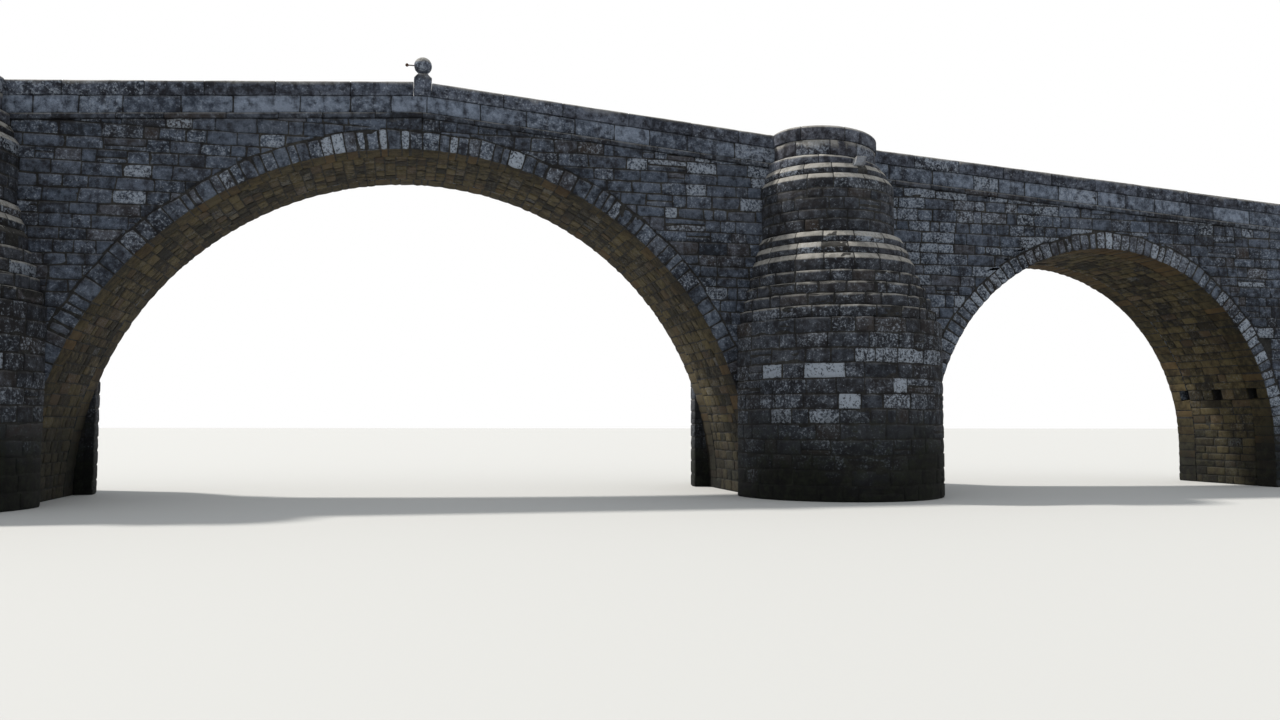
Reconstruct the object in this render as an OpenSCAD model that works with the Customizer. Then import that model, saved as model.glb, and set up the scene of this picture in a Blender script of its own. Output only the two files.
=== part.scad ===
/* [Bridge] */
// Width between the two wall faces
bridge_w = 2000; // [1700:10:2600]
// Thickness of the side walls that hold the road up
wall_t = 300; // [230:5:420]
// Height of the string course that carries the parapet slabs
bed_t = 65; // [50:1:85]
// Height of the string course over the paving beside it
kerb_h = 30; // [10:1:40]

/* [Main arch] */
// Inside radius of the main arch
main_r = 4425; // [3800:5:5100]
// Depth of the stones round the main arch
main_ring_t = 280; // [220:5:360]
// Wall between the top of the main arch and the string course
crown_cover = 140; // [60:1:200]

/* [Side arches] */
// Inside radius of a side arch
side_r = 2910; // [2500:5:3300]
// Depth of the stones round a side arch
side_ring_t = 280; // [220:5:340]
// Wall between the top of a side arch and the string course
side_cover = 298; // [200:1:450]
// How far the dressed face stones reach into an arch
face_ring_d = 380; // [250:5:500]

/* [Piers and abutments] */
// Width of a pier between the two arches beside it
pier_w = 2720; // [2600:5:2900]
// Height at which the solid pier ends and the side walls begin
pier_h = 2305; // [2000:5:2500]
// Length of an abutment past the opening of the side arch
abutment_l = 1785; // [900:5:3500]

/* [Hump] */
// Drop of the parapet from the middle of the bridge to the refuges
inner_drop = 421; // [340:1:440]
// Drop of the parapet from the refuges to the road ends
outer_drop = 529; // [360:1:620]

/* [Parapet] */
// Thickness of the parapet slabs
parapet_t = 175; // [140:5:230]
// Height of the slab course
slab_h = 220; // [150:5:260]
// Height of the coping course
coping_h = 190; // [140:5:250]
// How far the coping stands out past the slabs on each side
coping_lip = 12; // [4:1:30]
// Width of the slope along each top edge of the coping
coping_slope = 30; // [10:1:60]
// How far the string course stands out from the wall
string_lip = 22; // [10:1:45]

/* [Cutwaters] */
// Radius of the round cutwater
drum_r = 1430; // [1380:5:1450]
// How far a cutwater stands toward the main arch from the middle of its pier
cutwater_in = 160; // [0:5:220]
// Number of thin set-back courses on the cutwater
ledge_n = 5; // [3:1:6]
// Height of one set-back course
ledge_h = 157; // [130:1:180]
// Setback of one of those courses
ledge_in = 56; // [30:1:60]
// How much nearer the middle of the bridge each course is centred than the one under it
course_shift = 12; // [0:1:20]
// Least setback of a course on the top of the slope under it
course_in = 4; // [2:1:10]
// Height of the upright face between two weathered slopes
tier_face = 80; // [50:1:110]
// Height of a weathered slope
tier_slope = 74; // [40:1:100]
// Setback of a weathered slope
tier_in = 60; // [40:1:72]
// Number of weathered slopes
tier_n = 3; // [2:1:4]

/* [Refuges] */
// How much nearer the middle of the bridge the refuge shaft stands than the cap
refuge_shift = 45; // [0:1:60]
// Height of the slope of an upper ledge
upper_slope = 72; // [40:1:90]
// Height of the upright face of an upper ledge
upper_face = 75; // [30:1:90]
// Setback of an upper ledge
upper_in = 65; // [30:1:75]
// Rise of the refuge base over the refuge floor
base_rise = 16; // [8:1:40]
// Thickness of the refuge wall
refuge_wall = 150; // [120:5:190]
// Height of the refuge wall over its base
refuge_wall_h = 445; // [400:1:520]
// Setback of the refuge wall on its base
refuge_in = 85; // [40:1:95]
// Height of the refuge wall's lower course over its base
refuge_slab_h = 245; // [180:1:270]
// How far the upper course of the refuge wall stands out
refuge_lip = 16; // [6:1:30]

/* [Centring sockets] */
// Number of sockets across an arch
socket_n = 3; // [2:1:4]
// Distance between sockets
socket_gap = 700; // [480:5:800]
// Width of a socket
socket_w = 190; // [120:5:220]
// Height of a socket
socket_h = 165; // [100:5:200]
// Depth of a socket
socket_d = 150; // [60:5:180]
// Height of the middle of the sockets over the centre of the arch
socket_rise = 775; // [500:5:1100]

/* [Ball finial] */
// Radius of the ball
ball_r = 113; // [90:1:130]
// Height of the ball's centre over the coping
ball_h = 220; // [190:1:280]
// Width of the block that carries the ball
block_w = 226; // [180:2:280]
// Height of the block's shoulder over the coping
block_h = 52; // [30:1:70]
// Radius of the neck under the ball
neck_r = 62; // [45:1:75]
// Radius of the iron pin in the ball
pin_r = 8; // [5:1:12]
// Length of the pin outside the ball
pin_l = 88; // [50:1:140]
// Radius of the knob on the pin
knob_r = 22; // [15:1:30]

/* [Hidden] */
$fn = 96;
half_w = bridge_w / 2;
parapet_h = slab_h + coping_h;
main_out = main_r + main_ring_t;
side_out = side_r + side_ring_t;
side_x = main_r + pier_w + side_r;
half_l = side_x + side_r + abutment_l;
far = 6 * half_l;
cutwater_x = main_r + pier_w / 2 - cutwater_in;
apex_h = main_out + crown_cover + bed_t + parapet_h;
ledge_top_h = pier_h + ledge_n * ledge_h;
ledge_top_r = drum_r - ledge_n * ledge_in;
tier_h = tier_slope + tier_face;
cap_top_h = ledge_top_h + tier_n * tier_h - tier_face;
cap_top_r = ledge_top_r - tier_n * tier_in + course_shift + course_in;
shaft_x = cutwater_x - (ledge_n + tier_n - 1) * course_shift - refuge_shift;
shaft_r = cap_top_r - refuge_shift - course_in;
upper_step = upper_slope + upper_face;
refuge_x = shaft_x - 2 * course_shift;
base_r = shaft_r - 2 * upper_in;
refuge_r = base_r - refuge_in;
refuge_hole_r = refuge_r - refuge_wall;
fall_1 = inner_drop / refuge_x;
fall_2 = outer_drop / (half_l - refuge_x);
refuge_tilt = atan((fall_1 + fall_2) / 2);
sides = [-1, 1];

// Height of the parapet top at a distance x from the middle
function top_z(x) = apex_h - fall_1 * min(abs(x), refuge_x)
    - fall_2 * max(0, abs(x) - refuge_x);

side_spring_h = top_z(side_x) - parapet_h - bed_t - side_cover - side_out;
floor_h = top_z(refuge_x) - parapet_h - kerb_h;
base_h = floor_h + base_rise;
upper_h = base_h - 2 * upper_step;

// Turns a drawing of x and height into a solid between two places across the bridge
module along_y(y0, y1) {
    translate([0, y1, 0]) rotate([90, 0, 0]) linear_extrude(height = y1 - y0) children();
}

// Puts a front piece on the left or right, and mirrors it for the back of the bridge
module place(side, back = false) {
    mirror([side < 0 ? 1 : 0, 0, 0]) mirror([0, back ? 1 : 0, 0]) children();
}

// Strip that follows the hump, between two depths under the parapet top
module hump2d(x0, x1, upper, lower) {
    bends = [for (x = [-refuge_x, 0, refuge_x]) if (x > x0 && x < x1) x];
    xs = concat([x0], bends, [x1]);
    last = len(xs) - 1;
    polygon(concat(
        [for (x = xs) [x, top_z(x) - upper]],
        [for (i = [last:-1:0]) [xs[i], top_z(xs[i]) - lower]]
    ));
}

// Opening of an arch, with upright sides under its centre
module arch_hole2d(x, r, centre_h) {
    translate([x, centre_h]) circle(r);
    translate([x - r, centre_h - r]) square([2 * r, r]);
}

// Ring of arch stones, cut off at the foot
module ring2d(x, r, t, centre_h) {
    difference() {
        arch_hole2d(x, r + t, centre_h);
        arch_hole2d(x, r, centre_h);
        translate([x - far / 2, -far]) square([far, far]);
    }
}

module all_holes2d() {
    arch_hole2d(0, main_out, 0);
    for (s = sides) arch_hole2d(s * side_x, side_out, side_spring_h);
}

// Row of square sockets that the timber centring of an arch stood in
module centring_sockets() {
    reach = side_r - sqrt(pow(side_r, 2) - pow(socket_rise, 2));
    for (i = [0:socket_n - 1], s = sides)
        translate([
            s * (side_r - reach) - socket_d,
            (i - (socket_n - 1) / 2) * socket_gap - socket_w / 2,
            side_spring_h + socket_rise - socket_h / 2
        ]) cube([2 * socket_d, socket_w, socket_h]);
}

module main_barrel() {
    color("rosybrown")
        along_y(-half_w + face_ring_d, half_w - face_ring_d)
            ring2d(0, main_r, main_ring_t, 0);
}

module side_barrel(side) {
    color("rosybrown") translate([side * side_x, 0, 0]) difference() {
        along_y(-half_w + face_ring_d, half_w - face_ring_d)
            ring2d(0, side_r, side_ring_t, side_spring_h);
        centring_sockets();
    }
}

module main_ring() {
    color("slategray") along_y(-half_w, -half_w + face_ring_d)
        ring2d(0, main_r, main_ring_t, 0);
}

module side_rings() {
    color("slategray") for (s = sides) translate([s * side_x, 0, 0]) difference() {
        along_y(-half_w, -half_w + face_ring_d)
            ring2d(0, side_r, side_ring_t, side_spring_h);
        centring_sockets();
    }
}

// Solid masonry from the foot to the pier top, and the fill between the walls over it
module core(x0, x1) {
    along_y(-half_w, half_w) difference() {
        translate([x0, 0]) square([x1 - x0, pier_h]);
        all_holes2d();
    }
    along_y(-half_w + wall_t, half_w - wall_t) difference() {
        hump2d(x0, x1, parapet_h + bed_t, apex_h);
        translate([x0, -far]) square([x1 - x0, far + pier_h]);
        all_holes2d();
    }
}

module pier() {
    color("dimgray") core(0, side_x);
}

module abutment() {
    color("dimgray") core(side_x, half_l);
}

// Side wall from the middle of the bridge to a road end, over the main and side arch
module side_wall() {
    color("lightslategray") along_y(-half_w, -half_w + wall_t) difference() {
        hump2d(0, half_l, parapet_h + bed_t, apex_h);
        translate([0, -far]) square([half_l, far + pier_h]);
        all_holes2d();
    }
}

// Turned shape on an upright axis at x, in the plane of the front wall face
module turned(x) {
    translate([x, -half_w, 0]) rotate_extrude() children();
}

// Keeps the half that stands in front of the wall face
module in_front() {
    difference() {
        union() children();
        translate([-far / 2, -half_w, -far / 2]) cube(far);
    }
}

// Course with a weathered slope above an upright face, standing on a common bed. The
// next course stands nearly flush with its slope on the side toward the middle
module sloped_course(x, r, bed, z1, z2, inset) {
    top_r = r - inset + course_shift + course_in;
    turned(x) polygon([[0, bed], [r, bed], [r, z1], [top_r, z2], [0, z2]]);
}

module cutwater() {
    color("gray") in_front() turned(cutwater_x) square([drum_r, pier_h]);
}

// Courses that step in over the cutwater: thin set-back courses first, then the deep
// weathered slopes with an upright face between them
module stepped_cap() {
    color("darkgray") in_front() {
        for (i = [1:ledge_n - 1])
            turned(cutwater_x - i * course_shift) translate([0, pier_h])
                square([drum_r - i * ledge_in, i * ledge_h]);
        for (i = [0:tier_n - 1])
            sloped_course(
                cutwater_x - (ledge_n + i) * course_shift,
                ledge_top_r - i * tier_in,
                pier_h,
                ledge_top_h + i * tier_h,
                ledge_top_h + i * tier_h + tier_slope,
                tier_in
            );
    }
}

// All that lies over a plane through a height on the refuge axis, falling with the road
module over_slope(z) {
    translate([refuge_x, -half_w, z]) rotate([0, refuge_tilt, 0])
        translate([-far / 2, -far / 2, 0]) cube(far);
}

// Shaft under the refuge, with two sloped ledges that bring it in to the refuge base
module refuge_drum() {
    color("gray") in_front() difference() {
        union() {
            sloped_course(shaft_x, shaft_r, cap_top_h, upper_h,
                upper_h + upper_slope, upper_in);
            sloped_course(shaft_x - course_shift, shaft_r - upper_in, cap_top_h,
                upper_h + upper_step, upper_h + upper_step + upper_slope, upper_in);
            turned(refuge_x) translate([0, cap_top_h])
                square([base_r, base_h + base_r / 5 - cap_top_h]);
        }
        over_slope(floor_h);
    }
}

// Turned shape on the refuge axis that leans with the road
module leaning_round(z) {
    translate([refuge_x, -half_w, z]) rotate([0, refuge_tilt, 0]) rotate_extrude() children();
}

// Round parapet of the refuge: a sloped foot, a lower course and a wider upper course,
// all with upright sides and with beds that fall with the road
module refuge_wall() {
    foot_in = refuge_in + refuge_wall / 2;
    upper_r = refuge_r + refuge_lip;
    upper_t = refuge_wall_h - refuge_slab_h;
    skirt = upper_t / 4;
    color("silver") in_front() difference() {
        union() {
            leaning_round(floor_h) polygon([
                [0, 0],
                [base_r, 0],
                [base_r, base_rise],
                [base_r - foot_in, base_rise + foot_in / 2],
                [0, base_rise + foot_in / 2]
            ]);
            intersection() {
                translate([refuge_x, -half_w, 0]) cylinder(r = refuge_r, h = far);
                difference() {
                    over_slope(floor_h);
                    over_slope(base_h + refuge_slab_h);
                }
            }
            intersection() {
                translate([refuge_x, -half_w, 0]) cylinder(r = upper_r, h = far);
                leaning_round(base_h + refuge_slab_h) polygon([
                    [0, 0],
                    [upper_r + skirt, 0],
                    [upper_r + skirt, upper_t - coping_slope - skirt],
                    [upper_r - coping_slope, upper_t],
                    [0, upper_t]
                ]);
            }
        }
        translate([refuge_x, -half_w, 0]) cylinder(r = refuge_hole_r, h = far);
    }
}

// Stretches of one face between its road ends and refuges
stretches = [
    [-half_l, -refuge_x - refuge_hole_r],
    [-refuge_x + refuge_hole_r, refuge_x - refuge_hole_r],
    [refuge_x + refuge_hole_r, half_l]
];

// Paving between the parapets, which runs on through both parapets into the refuges
module roadway() {
    color("tan") difference() {
        along_y(-half_w, half_w)
            hump2d(-half_l, half_l, parapet_h + kerb_h, parapet_h + bed_t);
        for (r = stretches, s = sides)
            translate([r[0], s * half_w - parapet_t, 0]) cube([r[1] - r[0], 2 * parapet_t, far]);
    }
}

// Bed course under the parapet, whose outer lip stops clear of the round shafts
module string_course() {
    color("darkslategray") difference() {
        for (r = stretches) along_y(-half_w - string_lip, -half_w + parapet_t)
            hump2d(r[0], r[1], parapet_h, parapet_h + bed_t);
        for (s = sides) translate([s * shaft_x - shaft_r, -half_w - 2 * string_lip, 0])
            cube([2 * shaft_r, 2 * string_lip, far]);
    }
}

module parapet(stretch) {
    r = stretches[stretch];
    color("silver") along_y(-half_w, -half_w + parapet_t)
        hump2d(r[0], r[1], coping_h, parapet_h);
}

// Coping section laid along one straight slope of the hump, between upright joints
module coping_run(x0, x1) {
    slope = atan2(top_z(x1) - top_z(x0), x1 - x0);
    depth = coping_h * cos(slope);
    y0 = -half_w - coping_lip;
    y1 = -half_w + parapet_t + coping_lip;
    side_h = depth - coping_slope / 2;
    intersection() {
        translate([x0, y0, 0]) cube([x1 - x0, y1 - y0, far]);
        translate([x0, 0, top_z(x0) - coping_h]) rotate([0, -slope, 0])
            rotate([90, 0, 90]) translate([0, 0, -far / 2]) linear_extrude(height = far)
                polygon([
                    [y0, 0],
                    [y1, 0],
                    [y1, side_h],
                    [y1 - coping_slope, depth],
                    [y0 + coping_slope, depth],
                    [y0, side_h]
                ]);
    }
}

module coping(gap) {
    inner = refuge_x - refuge_hole_r;
    outer = refuge_x + refuge_hole_r;
    color("dimgray") for (s = sides) mirror([s < 0 ? 1 : 0, 0, 0]) {
        coping_run(gap, inner);
        coping_run(outer, half_l);
    }
}

// Block built into the coping at the top of the hump, with sloped shoulders
module finial_block() {
    half = block_w / 2;
    y0 = -half_w - coping_lip;
    foot_h = top_z(half) + block_h;
    color("gray") {
        along_y(y0, -half_w + parapet_t + coping_lip) polygon([
            [-half, top_z(half) - coping_h],
            [0, top_z(0) - coping_h],
            [half, top_z(half) - coping_h],
            [half, foot_h],
            [neck_r, top_z(0) + ball_h - ball_r - (half - neck_r) / 4],
            [-neck_r, top_z(0) + ball_h - ball_r - (half - neck_r) / 4],
            [-half, foot_h]
        ]);
    }
}

finial_y = -half_w + parapet_t / 2;
ball_z = apex_h + ball_h;

// Ball and the short neck under it, turned from one stone
module finial_ball() {
    foot = apex_h + ball_h - ball_r - (block_w / 2 - neck_r) / 4;
    color("darkgray") translate([0, finial_y, 0]) union() {
        translate([0, 0, ball_z]) sphere(ball_r);
        translate([0, 0, foot]) cylinder(r = neck_r, h = ball_z - foot);
    }
}

// Iron pin that stands out of the ball, with a round knob on its end
module finial_pin() {
    color("black") translate([0, finial_y, ball_z]) difference() {
        rotate([0, -90, 0]) {
            cylinder(r = pin_r, h = ball_r + pin_l);
            translate([0, 0, ball_r + pin_l]) sphere(knob_r);
        }
        sphere(ball_r);
    }
}

main_barrel();
side_barrel(-1);  // left_barrel
side_barrel(1);  // right_barrel
main_ring();  // main_ring_front
place(1, true) main_ring();  // main_ring_back
side_rings();  // side_rings_front
place(1, true) side_rings();  // side_rings_back
place(-1) pier();  // pier_left
pier();  // pier_right
place(-1) abutment();  // abutment_left
abutment();  // abutment_right
place(-1) side_wall();  // wall_front_left
side_wall();  // wall_front_right
place(-1, true) side_wall();  // wall_back_left
place(1, true) side_wall();  // wall_back_right
place(-1) cutwater();  // cutwater_front_left
cutwater();  // cutwater_front_right
place(-1, true) cutwater();  // cutwater_back_left
place(1, true) cutwater();  // cutwater_back_right
place(-1) stepped_cap();  // stepped_cap_front_left
stepped_cap();  // stepped_cap_front_right
place(-1, true) stepped_cap();  // stepped_cap_back_left
place(1, true) stepped_cap();  // stepped_cap_back_right
place(-1) refuge_drum();  // refuge_drum_front_left
refuge_drum();  // refuge_drum_front_right
place(-1, true) refuge_drum();  // refuge_drum_back_left
place(1, true) refuge_drum();  // refuge_drum_back_right
place(-1) refuge_wall();  // refuge_wall_front_left
refuge_wall();  // refuge_wall_front_right
place(-1, true) refuge_wall();  // refuge_wall_back_left
place(1, true) refuge_wall();  // refuge_wall_back_right
roadway();
string_course();  // string_course_front
place(1, true) string_course();  // string_course_back
parapet(0);  // parapet_front_left
parapet(1);  // parapet_front_middle
parapet(2);  // parapet_front_right
place(1, true) parapet(0);  // parapet_back_left
place(1, true) parapet(1);  // parapet_back_middle
place(1, true) parapet(2);  // parapet_back_right
coping(block_w / 2);  // coping_front
place(1, true) coping(0);  // coping_back
finial_block();
finial_ball();
finial_pin();
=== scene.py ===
import math
from collections import namedtuple
from itertools import pairwise

import bmesh
import bpy
import numpy as np
from mathutils import Matrix, Vector, noise


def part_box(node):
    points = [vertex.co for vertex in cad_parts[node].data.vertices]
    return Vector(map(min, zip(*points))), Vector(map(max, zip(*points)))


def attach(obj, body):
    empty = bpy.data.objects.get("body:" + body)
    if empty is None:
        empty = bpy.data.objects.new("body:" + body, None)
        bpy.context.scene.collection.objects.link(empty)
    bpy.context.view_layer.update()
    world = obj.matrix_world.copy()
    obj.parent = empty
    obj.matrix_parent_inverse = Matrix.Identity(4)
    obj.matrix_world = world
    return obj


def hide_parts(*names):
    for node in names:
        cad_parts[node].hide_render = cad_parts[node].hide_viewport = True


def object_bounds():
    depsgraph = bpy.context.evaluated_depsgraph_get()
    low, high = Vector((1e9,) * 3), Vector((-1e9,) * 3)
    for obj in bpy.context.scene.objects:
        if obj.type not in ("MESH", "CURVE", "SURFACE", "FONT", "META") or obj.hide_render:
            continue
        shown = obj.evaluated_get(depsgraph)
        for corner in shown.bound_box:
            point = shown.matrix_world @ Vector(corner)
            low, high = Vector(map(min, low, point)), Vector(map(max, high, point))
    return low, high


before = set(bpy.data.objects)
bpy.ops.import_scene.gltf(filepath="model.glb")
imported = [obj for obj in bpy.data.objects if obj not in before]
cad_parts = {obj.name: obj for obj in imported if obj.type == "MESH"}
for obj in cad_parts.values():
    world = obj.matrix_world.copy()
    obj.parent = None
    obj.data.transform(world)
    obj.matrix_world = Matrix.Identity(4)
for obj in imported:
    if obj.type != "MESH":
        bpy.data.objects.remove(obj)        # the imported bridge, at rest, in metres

cad_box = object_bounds()

# Piers
# Two solid piers of coursed granite stand between the arches, bedded in weak lime mortar.
# Slivers of their faces show between the cutwaters and the arches on both sides.
HALF_W = 1.0
HALF_L = 14.75
MAIN_R = 4.425
SIDE_R = 2.91
RING_T = 0.28
SIDE_X = 10.055
SIDE_SPRING = 0.6747
CUTWATER_X = 5.625
SHAFT_X = 5.496
REFUGE_X = 5.472
APEX = 5.32
INNER_FALL = 0.421 / REFUGE_X
OUTER_FALL = 0.529 / (HALF_L - REFUGE_X)
PARAPET_H = 0.41
STRING_H = 0.065
PIER_H = 2.305
TOP_BEDS = (4.68, 4.86)
COURSE_H = 0.155
STONE_L = 0.31
BED_D = 0.05
POINTS = 8
RING_REACHES = (1.0, 0.84, 0.46, 0.0)
SHARP = math.radians(23)
BLUNT_W = 0.026
LEAST_SIDE = 0.001
LEAST_AREA = 0.0011
RING_GAP = 0.002
ARCHES = ((0.0, 0.0, MAIN_R), (-SIDE_X, SIDE_SPRING, SIDE_R), (SIDE_X, SIDE_SPRING, SIDE_R))
NEAR_RING = 0.6
SHAFT_OUTLINE = ((0.0, 1.38), (2.3, 1.38), (2.31, 1.32), (3.09, 1.1), (3.47, 0.9), (4.18, 0.9), (4.42, 0.74))
SHAFT_TOP = 4.4
SHAFT_COVER = 0.22
PIER_SLIVERS = ((4.02, 4.36), (6.85, 7.35))
FRONT = -1
BACK = 1
FACES = ((FRONT, "front"), (BACK, "back"))
HANDS = ((1, "right"), (-1, "left"))
MORTAR_FINISH = (0.4, 0.1, 0.1)
OCHRE_CRUST = (78, 64, 48)
MOSS = (52, 45, 27)
DARK_CRUST = (25, 24, 29)
LICHEN = (144, 152, 163)
# paler upper sides: sun-bleached stone and painted sunlight
BLEACHED_AND_SUNLIT = (170, 166, 158)
OCHRE_STAIN = (100, 74, 41)
WET_STONE = (9, 10, 9)
RIVER_WEED = (25, 28, 20)
# dirt and painted shade in the joints and round the stones' edges
JOINT_DIRT_AND_SHADE = (18, 19, 20)

# What a piece is joined from: points, faces, finish of each face, joint mark of each point (its share of
# joint dirt and painted shade), which material.
Part = namedtuple("Part", "places faces finish marks kind")


def parapet_top(x):
    """Height of the parapet top at a distance x along the bridge."""
    x = np.abs(x)
    return APEX - INNER_FALL * np.minimum(x, REFUGE_X) - OUTER_FALL * np.maximum(0.0, x - REFUGE_X)


def tint(red, green, blue):
    """A colour as a paint chart gives it, 0 to 255, made linear."""
    parts = [c / 255 for c in (red, green, blue)]
    return [c / 12.92 if c < 0.04045 else ((c + 0.055) / 1.055) ** 2.4 for c in parts] + [1.0]


def wire(tree, kind, inputs=(), **settings):
    """Adds one material node, with its inputs set or linked."""
    made = tree.nodes.new(kind)
    for key, value in settings.items():
        setattr(made, key, value)
    for key, value in dict(inputs).items():
        if isinstance(value, bpy.types.NodeSocket):
            tree.links.new(value, made.inputs[key])
        else:
            made.inputs[key].default_value = value
    return made


def blend(tree, amount, under, over, kind="MIX"):
    """Lays one colour over another by an amount."""
    inputs = {0: amount, 6: under, 7: over}
    return wire(tree, "ShaderNodeMix", inputs, data_type="RGBA", blend_type=kind).outputs[2]


def between(tree, value, low, high, out_low=0.0, out_high=1.0):
    """Turns a value between two marks into a smooth share."""
    inputs = {0: value, 1: low, 2: high, 3: out_low, 4: out_high}
    return wire(tree, "ShaderNodeMapRange", inputs, interpolation_type="SMOOTHSTEP").outputs[0]


def new_material(name):
    """An empty material and its node tree."""
    made = bpy.data.materials.new(name)
    made.use_nodes = True
    made.node_tree.nodes.clear()
    return made, made.node_tree


def granite(name, dark, light, damp=0.0, ochre=0.3, lichen=1.0, bleach_and_sunlight=0.1, crust=0.5, varied=0.26,
            under=None):
    """Weathered granite: grain, tone from stone to stone, lichen, dark crust, moss and damp, upper sides
    painted paler (sun-bleached stone and painted sunlight), and dark joints (dirt and painted shade).
    """
    made, tree = new_material(name)
    place = wire(tree, "ShaderNodeTexCoord").outputs["Object"]
    height = wire(tree, "ShaderNodeSeparateXYZ", {0: place}).outputs[2]
    stone = wire(tree, "ShaderNodeAttribute", attribute_name="stone").outputs["Color"]
    stone_tone, stone_lichen, stone_ochre = wire(tree, "ShaderNodeSeparateColor", {0: stone}).outputs
    joint = wire(tree, "ShaderNodeAttribute", attribute_name="joint").outputs["Fac"]
    facing = wire(tree, "ShaderNodeNewGeometry").outputs["Normal"]
    facing = wire(tree, "ShaderNodeSeparateXYZ", {0: facing})

    def grains(scale, detail, rough=0.6, vector=place):
        inputs = {"Vector": vector, "Scale": scale, "Detail": detail, "Roughness": rough}
        return wire(tree, "ShaderNodeTexNoise", inputs).outputs["Fac"]

    def sum_of(value, share, rest):
        inputs = {0: value, 1: share, 2: rest}
        return wire(tree, "ShaderNodeMath", inputs, operation="MULTIPLY_ADD").outputs[0]

    def product(value, share):
        return wire(tree, "ShaderNodeMath", {0: value, 1: share}, operation="MULTIPLY").outputs[0]

    cloud = grains(0.85, 3.0, 0.55)
    mottle = grains(9.0, 7.0, 0.7)
    flecks = grains(33.0, 5.0, 0.72)
    grain = grains(170.0, 2.0)
    drip = wire(tree, "ShaderNodeMapping", {"Vector": place, "Scale": (6.0, 6.0, 0.8)}).outputs[0]
    drip = grains(1.0, 4.0, 0.6, drip)

    # the stone's own colour, with the grain of its crystals
    tone = sum_of(stone_tone, varied, sum_of(mottle, 2.1, sum_of(cloud, 1.1, -1.2 - varied / 2)))
    tone = between(tree, tone, 0.0, 0.85)
    colour = blend(tree, tone, tint(*dark), tint(*light))
    grey = between(tree, grain, 0.3, 0.7, 0.72, 1.28)
    grey = wire(tree, "ShaderNodeCombineColor", {0: grey, 1: grey, 2: grey}).outputs[0]
    colour = blend(tree, 1.0, colour, grey, "MULTIPLY")

    # ochre stains, moss, dark crust along the drips, and lichen
    colour = blend(tree, product(stone_ochre, ochre), colour, tint(*OCHRE_CRUST))
    moss = between(tree, sum_of(mottle, 0.8, cloud), 0.98, 1.16)
    colour = blend(tree, product(moss, 0.6 * ochre), colour, tint(*MOSS))
    dirt = between(tree, sum_of(drip, 1.0, sum_of(mottle, -0.6, 0.3)), 0.5, 0.68)
    colour = blend(tree, product(dirt, crust), colour, tint(*DARK_CRUST))
    pale = between(tree, sum_of(stone_lichen, 0.3, sum_of(mottle, 0.4, flecks)), 0.79, 0.93)
    pale = product(pale, sum_of(stone_lichen, 0.45 * lichen, 0.48 * lichen))
    colour = blend(tree, pale, colour, tint(*LICHEN))

    # upper sides painted paler, partly sun-bleached stone and partly painted sunlight, and another colour on
    # an arch's inner side
    bleached_and_lit = product(between(tree, facing.outputs[2], 0.12, 0.48), between(tree, mottle, 0.32, 0.56, 0.5, 1.0))
    colour = blend(tree, product(bleached_and_lit, bleach_and_sunlight), colour, tint(*BLEACHED_AND_SUNLIT))
    if under is not None:
        inside = wire(tree, "ShaderNodeMath", {0: facing.outputs[1]}, operation="ABSOLUTE").outputs[0]
        stain = blend(tree, tone, tint(*under[0]), tint(*under[1]))
        stain = blend(tree, product(stone_ochre, 0.5), stain, tint(*OCHRE_STAIN))
        colour = blend(tree, between(tree, inside, 0.35, 0.8, 1.0, 0.0), colour, stain)

    # the damp and weedy foot, and the dark of the joints: dirt and painted shade along the joints, worn edges
    # and stone backs
    wet = sum_of(cloud, -2.4, sum_of(mottle, -1.4, height))
    wet = product(between(tree, wet, -1.65, -0.55, 1.0, 0.0), damp)
    weed = blend(tree, between(tree, mottle, 0.4, 0.65), tint(*WET_STONE), tint(*RIVER_WEED))
    colour = blend(tree, wet, colour, weed)
    colour = blend(tree, product(joint, 0.6), colour, tint(*JOINT_DIRT_AND_SHADE))

    bumps = sum_of(mottle, 2.0, sum_of(flecks, 0.9, grain))
    bump = wire(tree, "ShaderNodeBump", {"Strength": 0.8, "Distance": 0.008, "Height": bumps}).outputs[0]
    finish = {"Base Color": colour, "Normal": bump, "Roughness": 0.92, "Specular IOR Level": 0.2}
    shader = wire(tree, "ShaderNodeBsdfPrincipled", finish)
    wire(tree, "ShaderNodeOutputMaterial", {0: shader.outputs[0]})
    return made


def lifted_off(made):
    """The points and faces of a modelled shape, which is then removed."""
    places = np.array([vertex.co for vertex in made.data.vertices])
    faces = [tuple(face.vertices) for face in made.data.polygons]
    bpy.data.objects.remove(made)
    return places, faces


def face_stone():
    """Models one rough stone: an eight-sided block whose face is worn round its edges and swells."""
    bpy.ops.object.select_all(action="DESELECT")
    bpy.ops.mesh.primitive_cylinder_add(vertices=POINTS, radius=1.0, depth=1.0, location=(0, 0, 0))
    made = bpy.context.active_object
    bpy.ops.object.mode_set(mode="EDIT")
    bpy.ops.mesh.select_all(action="DESELECT")
    body = bmesh.from_edit_mesh(made.data)
    for face in body.faces:
        face.select = face.normal.z > 0.9
    bmesh.update_edit_mesh(made.data)
    bpy.ops.mesh.inset(thickness=0.15)
    bpy.ops.mesh.inset(thickness=0.35)
    bpy.ops.mesh.poke()
    bpy.ops.object.mode_set(mode="OBJECT")
    places, faces = lifted_off(made)
    rings, turns = [], []
    for x, y, z in places:
        reach = math.hypot(x, y)
        rings.append(0 if z < 0 else int(np.argmin([abs(reach - out) for out in RING_REACHES])) + 1)
        turns.append(round(math.atan2(y, x) / (2 * math.pi / POINTS)) % POINTS)
    return np.array(rings), np.array(turns), faces


# For each point its ring, 0 at the back and then from the face's edge to its middle, and its place round it.
STONE_RINGS, STONE_TURNS, STONE_FACES = face_stone()


def uneven(start, end, count, spread, rng):
    """Places of the joints from start to end, with count steps of uneven length."""
    steps = rng.uniform(*spread, count)
    return start + (end - start) * np.concatenate(([0.0], np.cumsum(steps) / steps.sum()))


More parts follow.
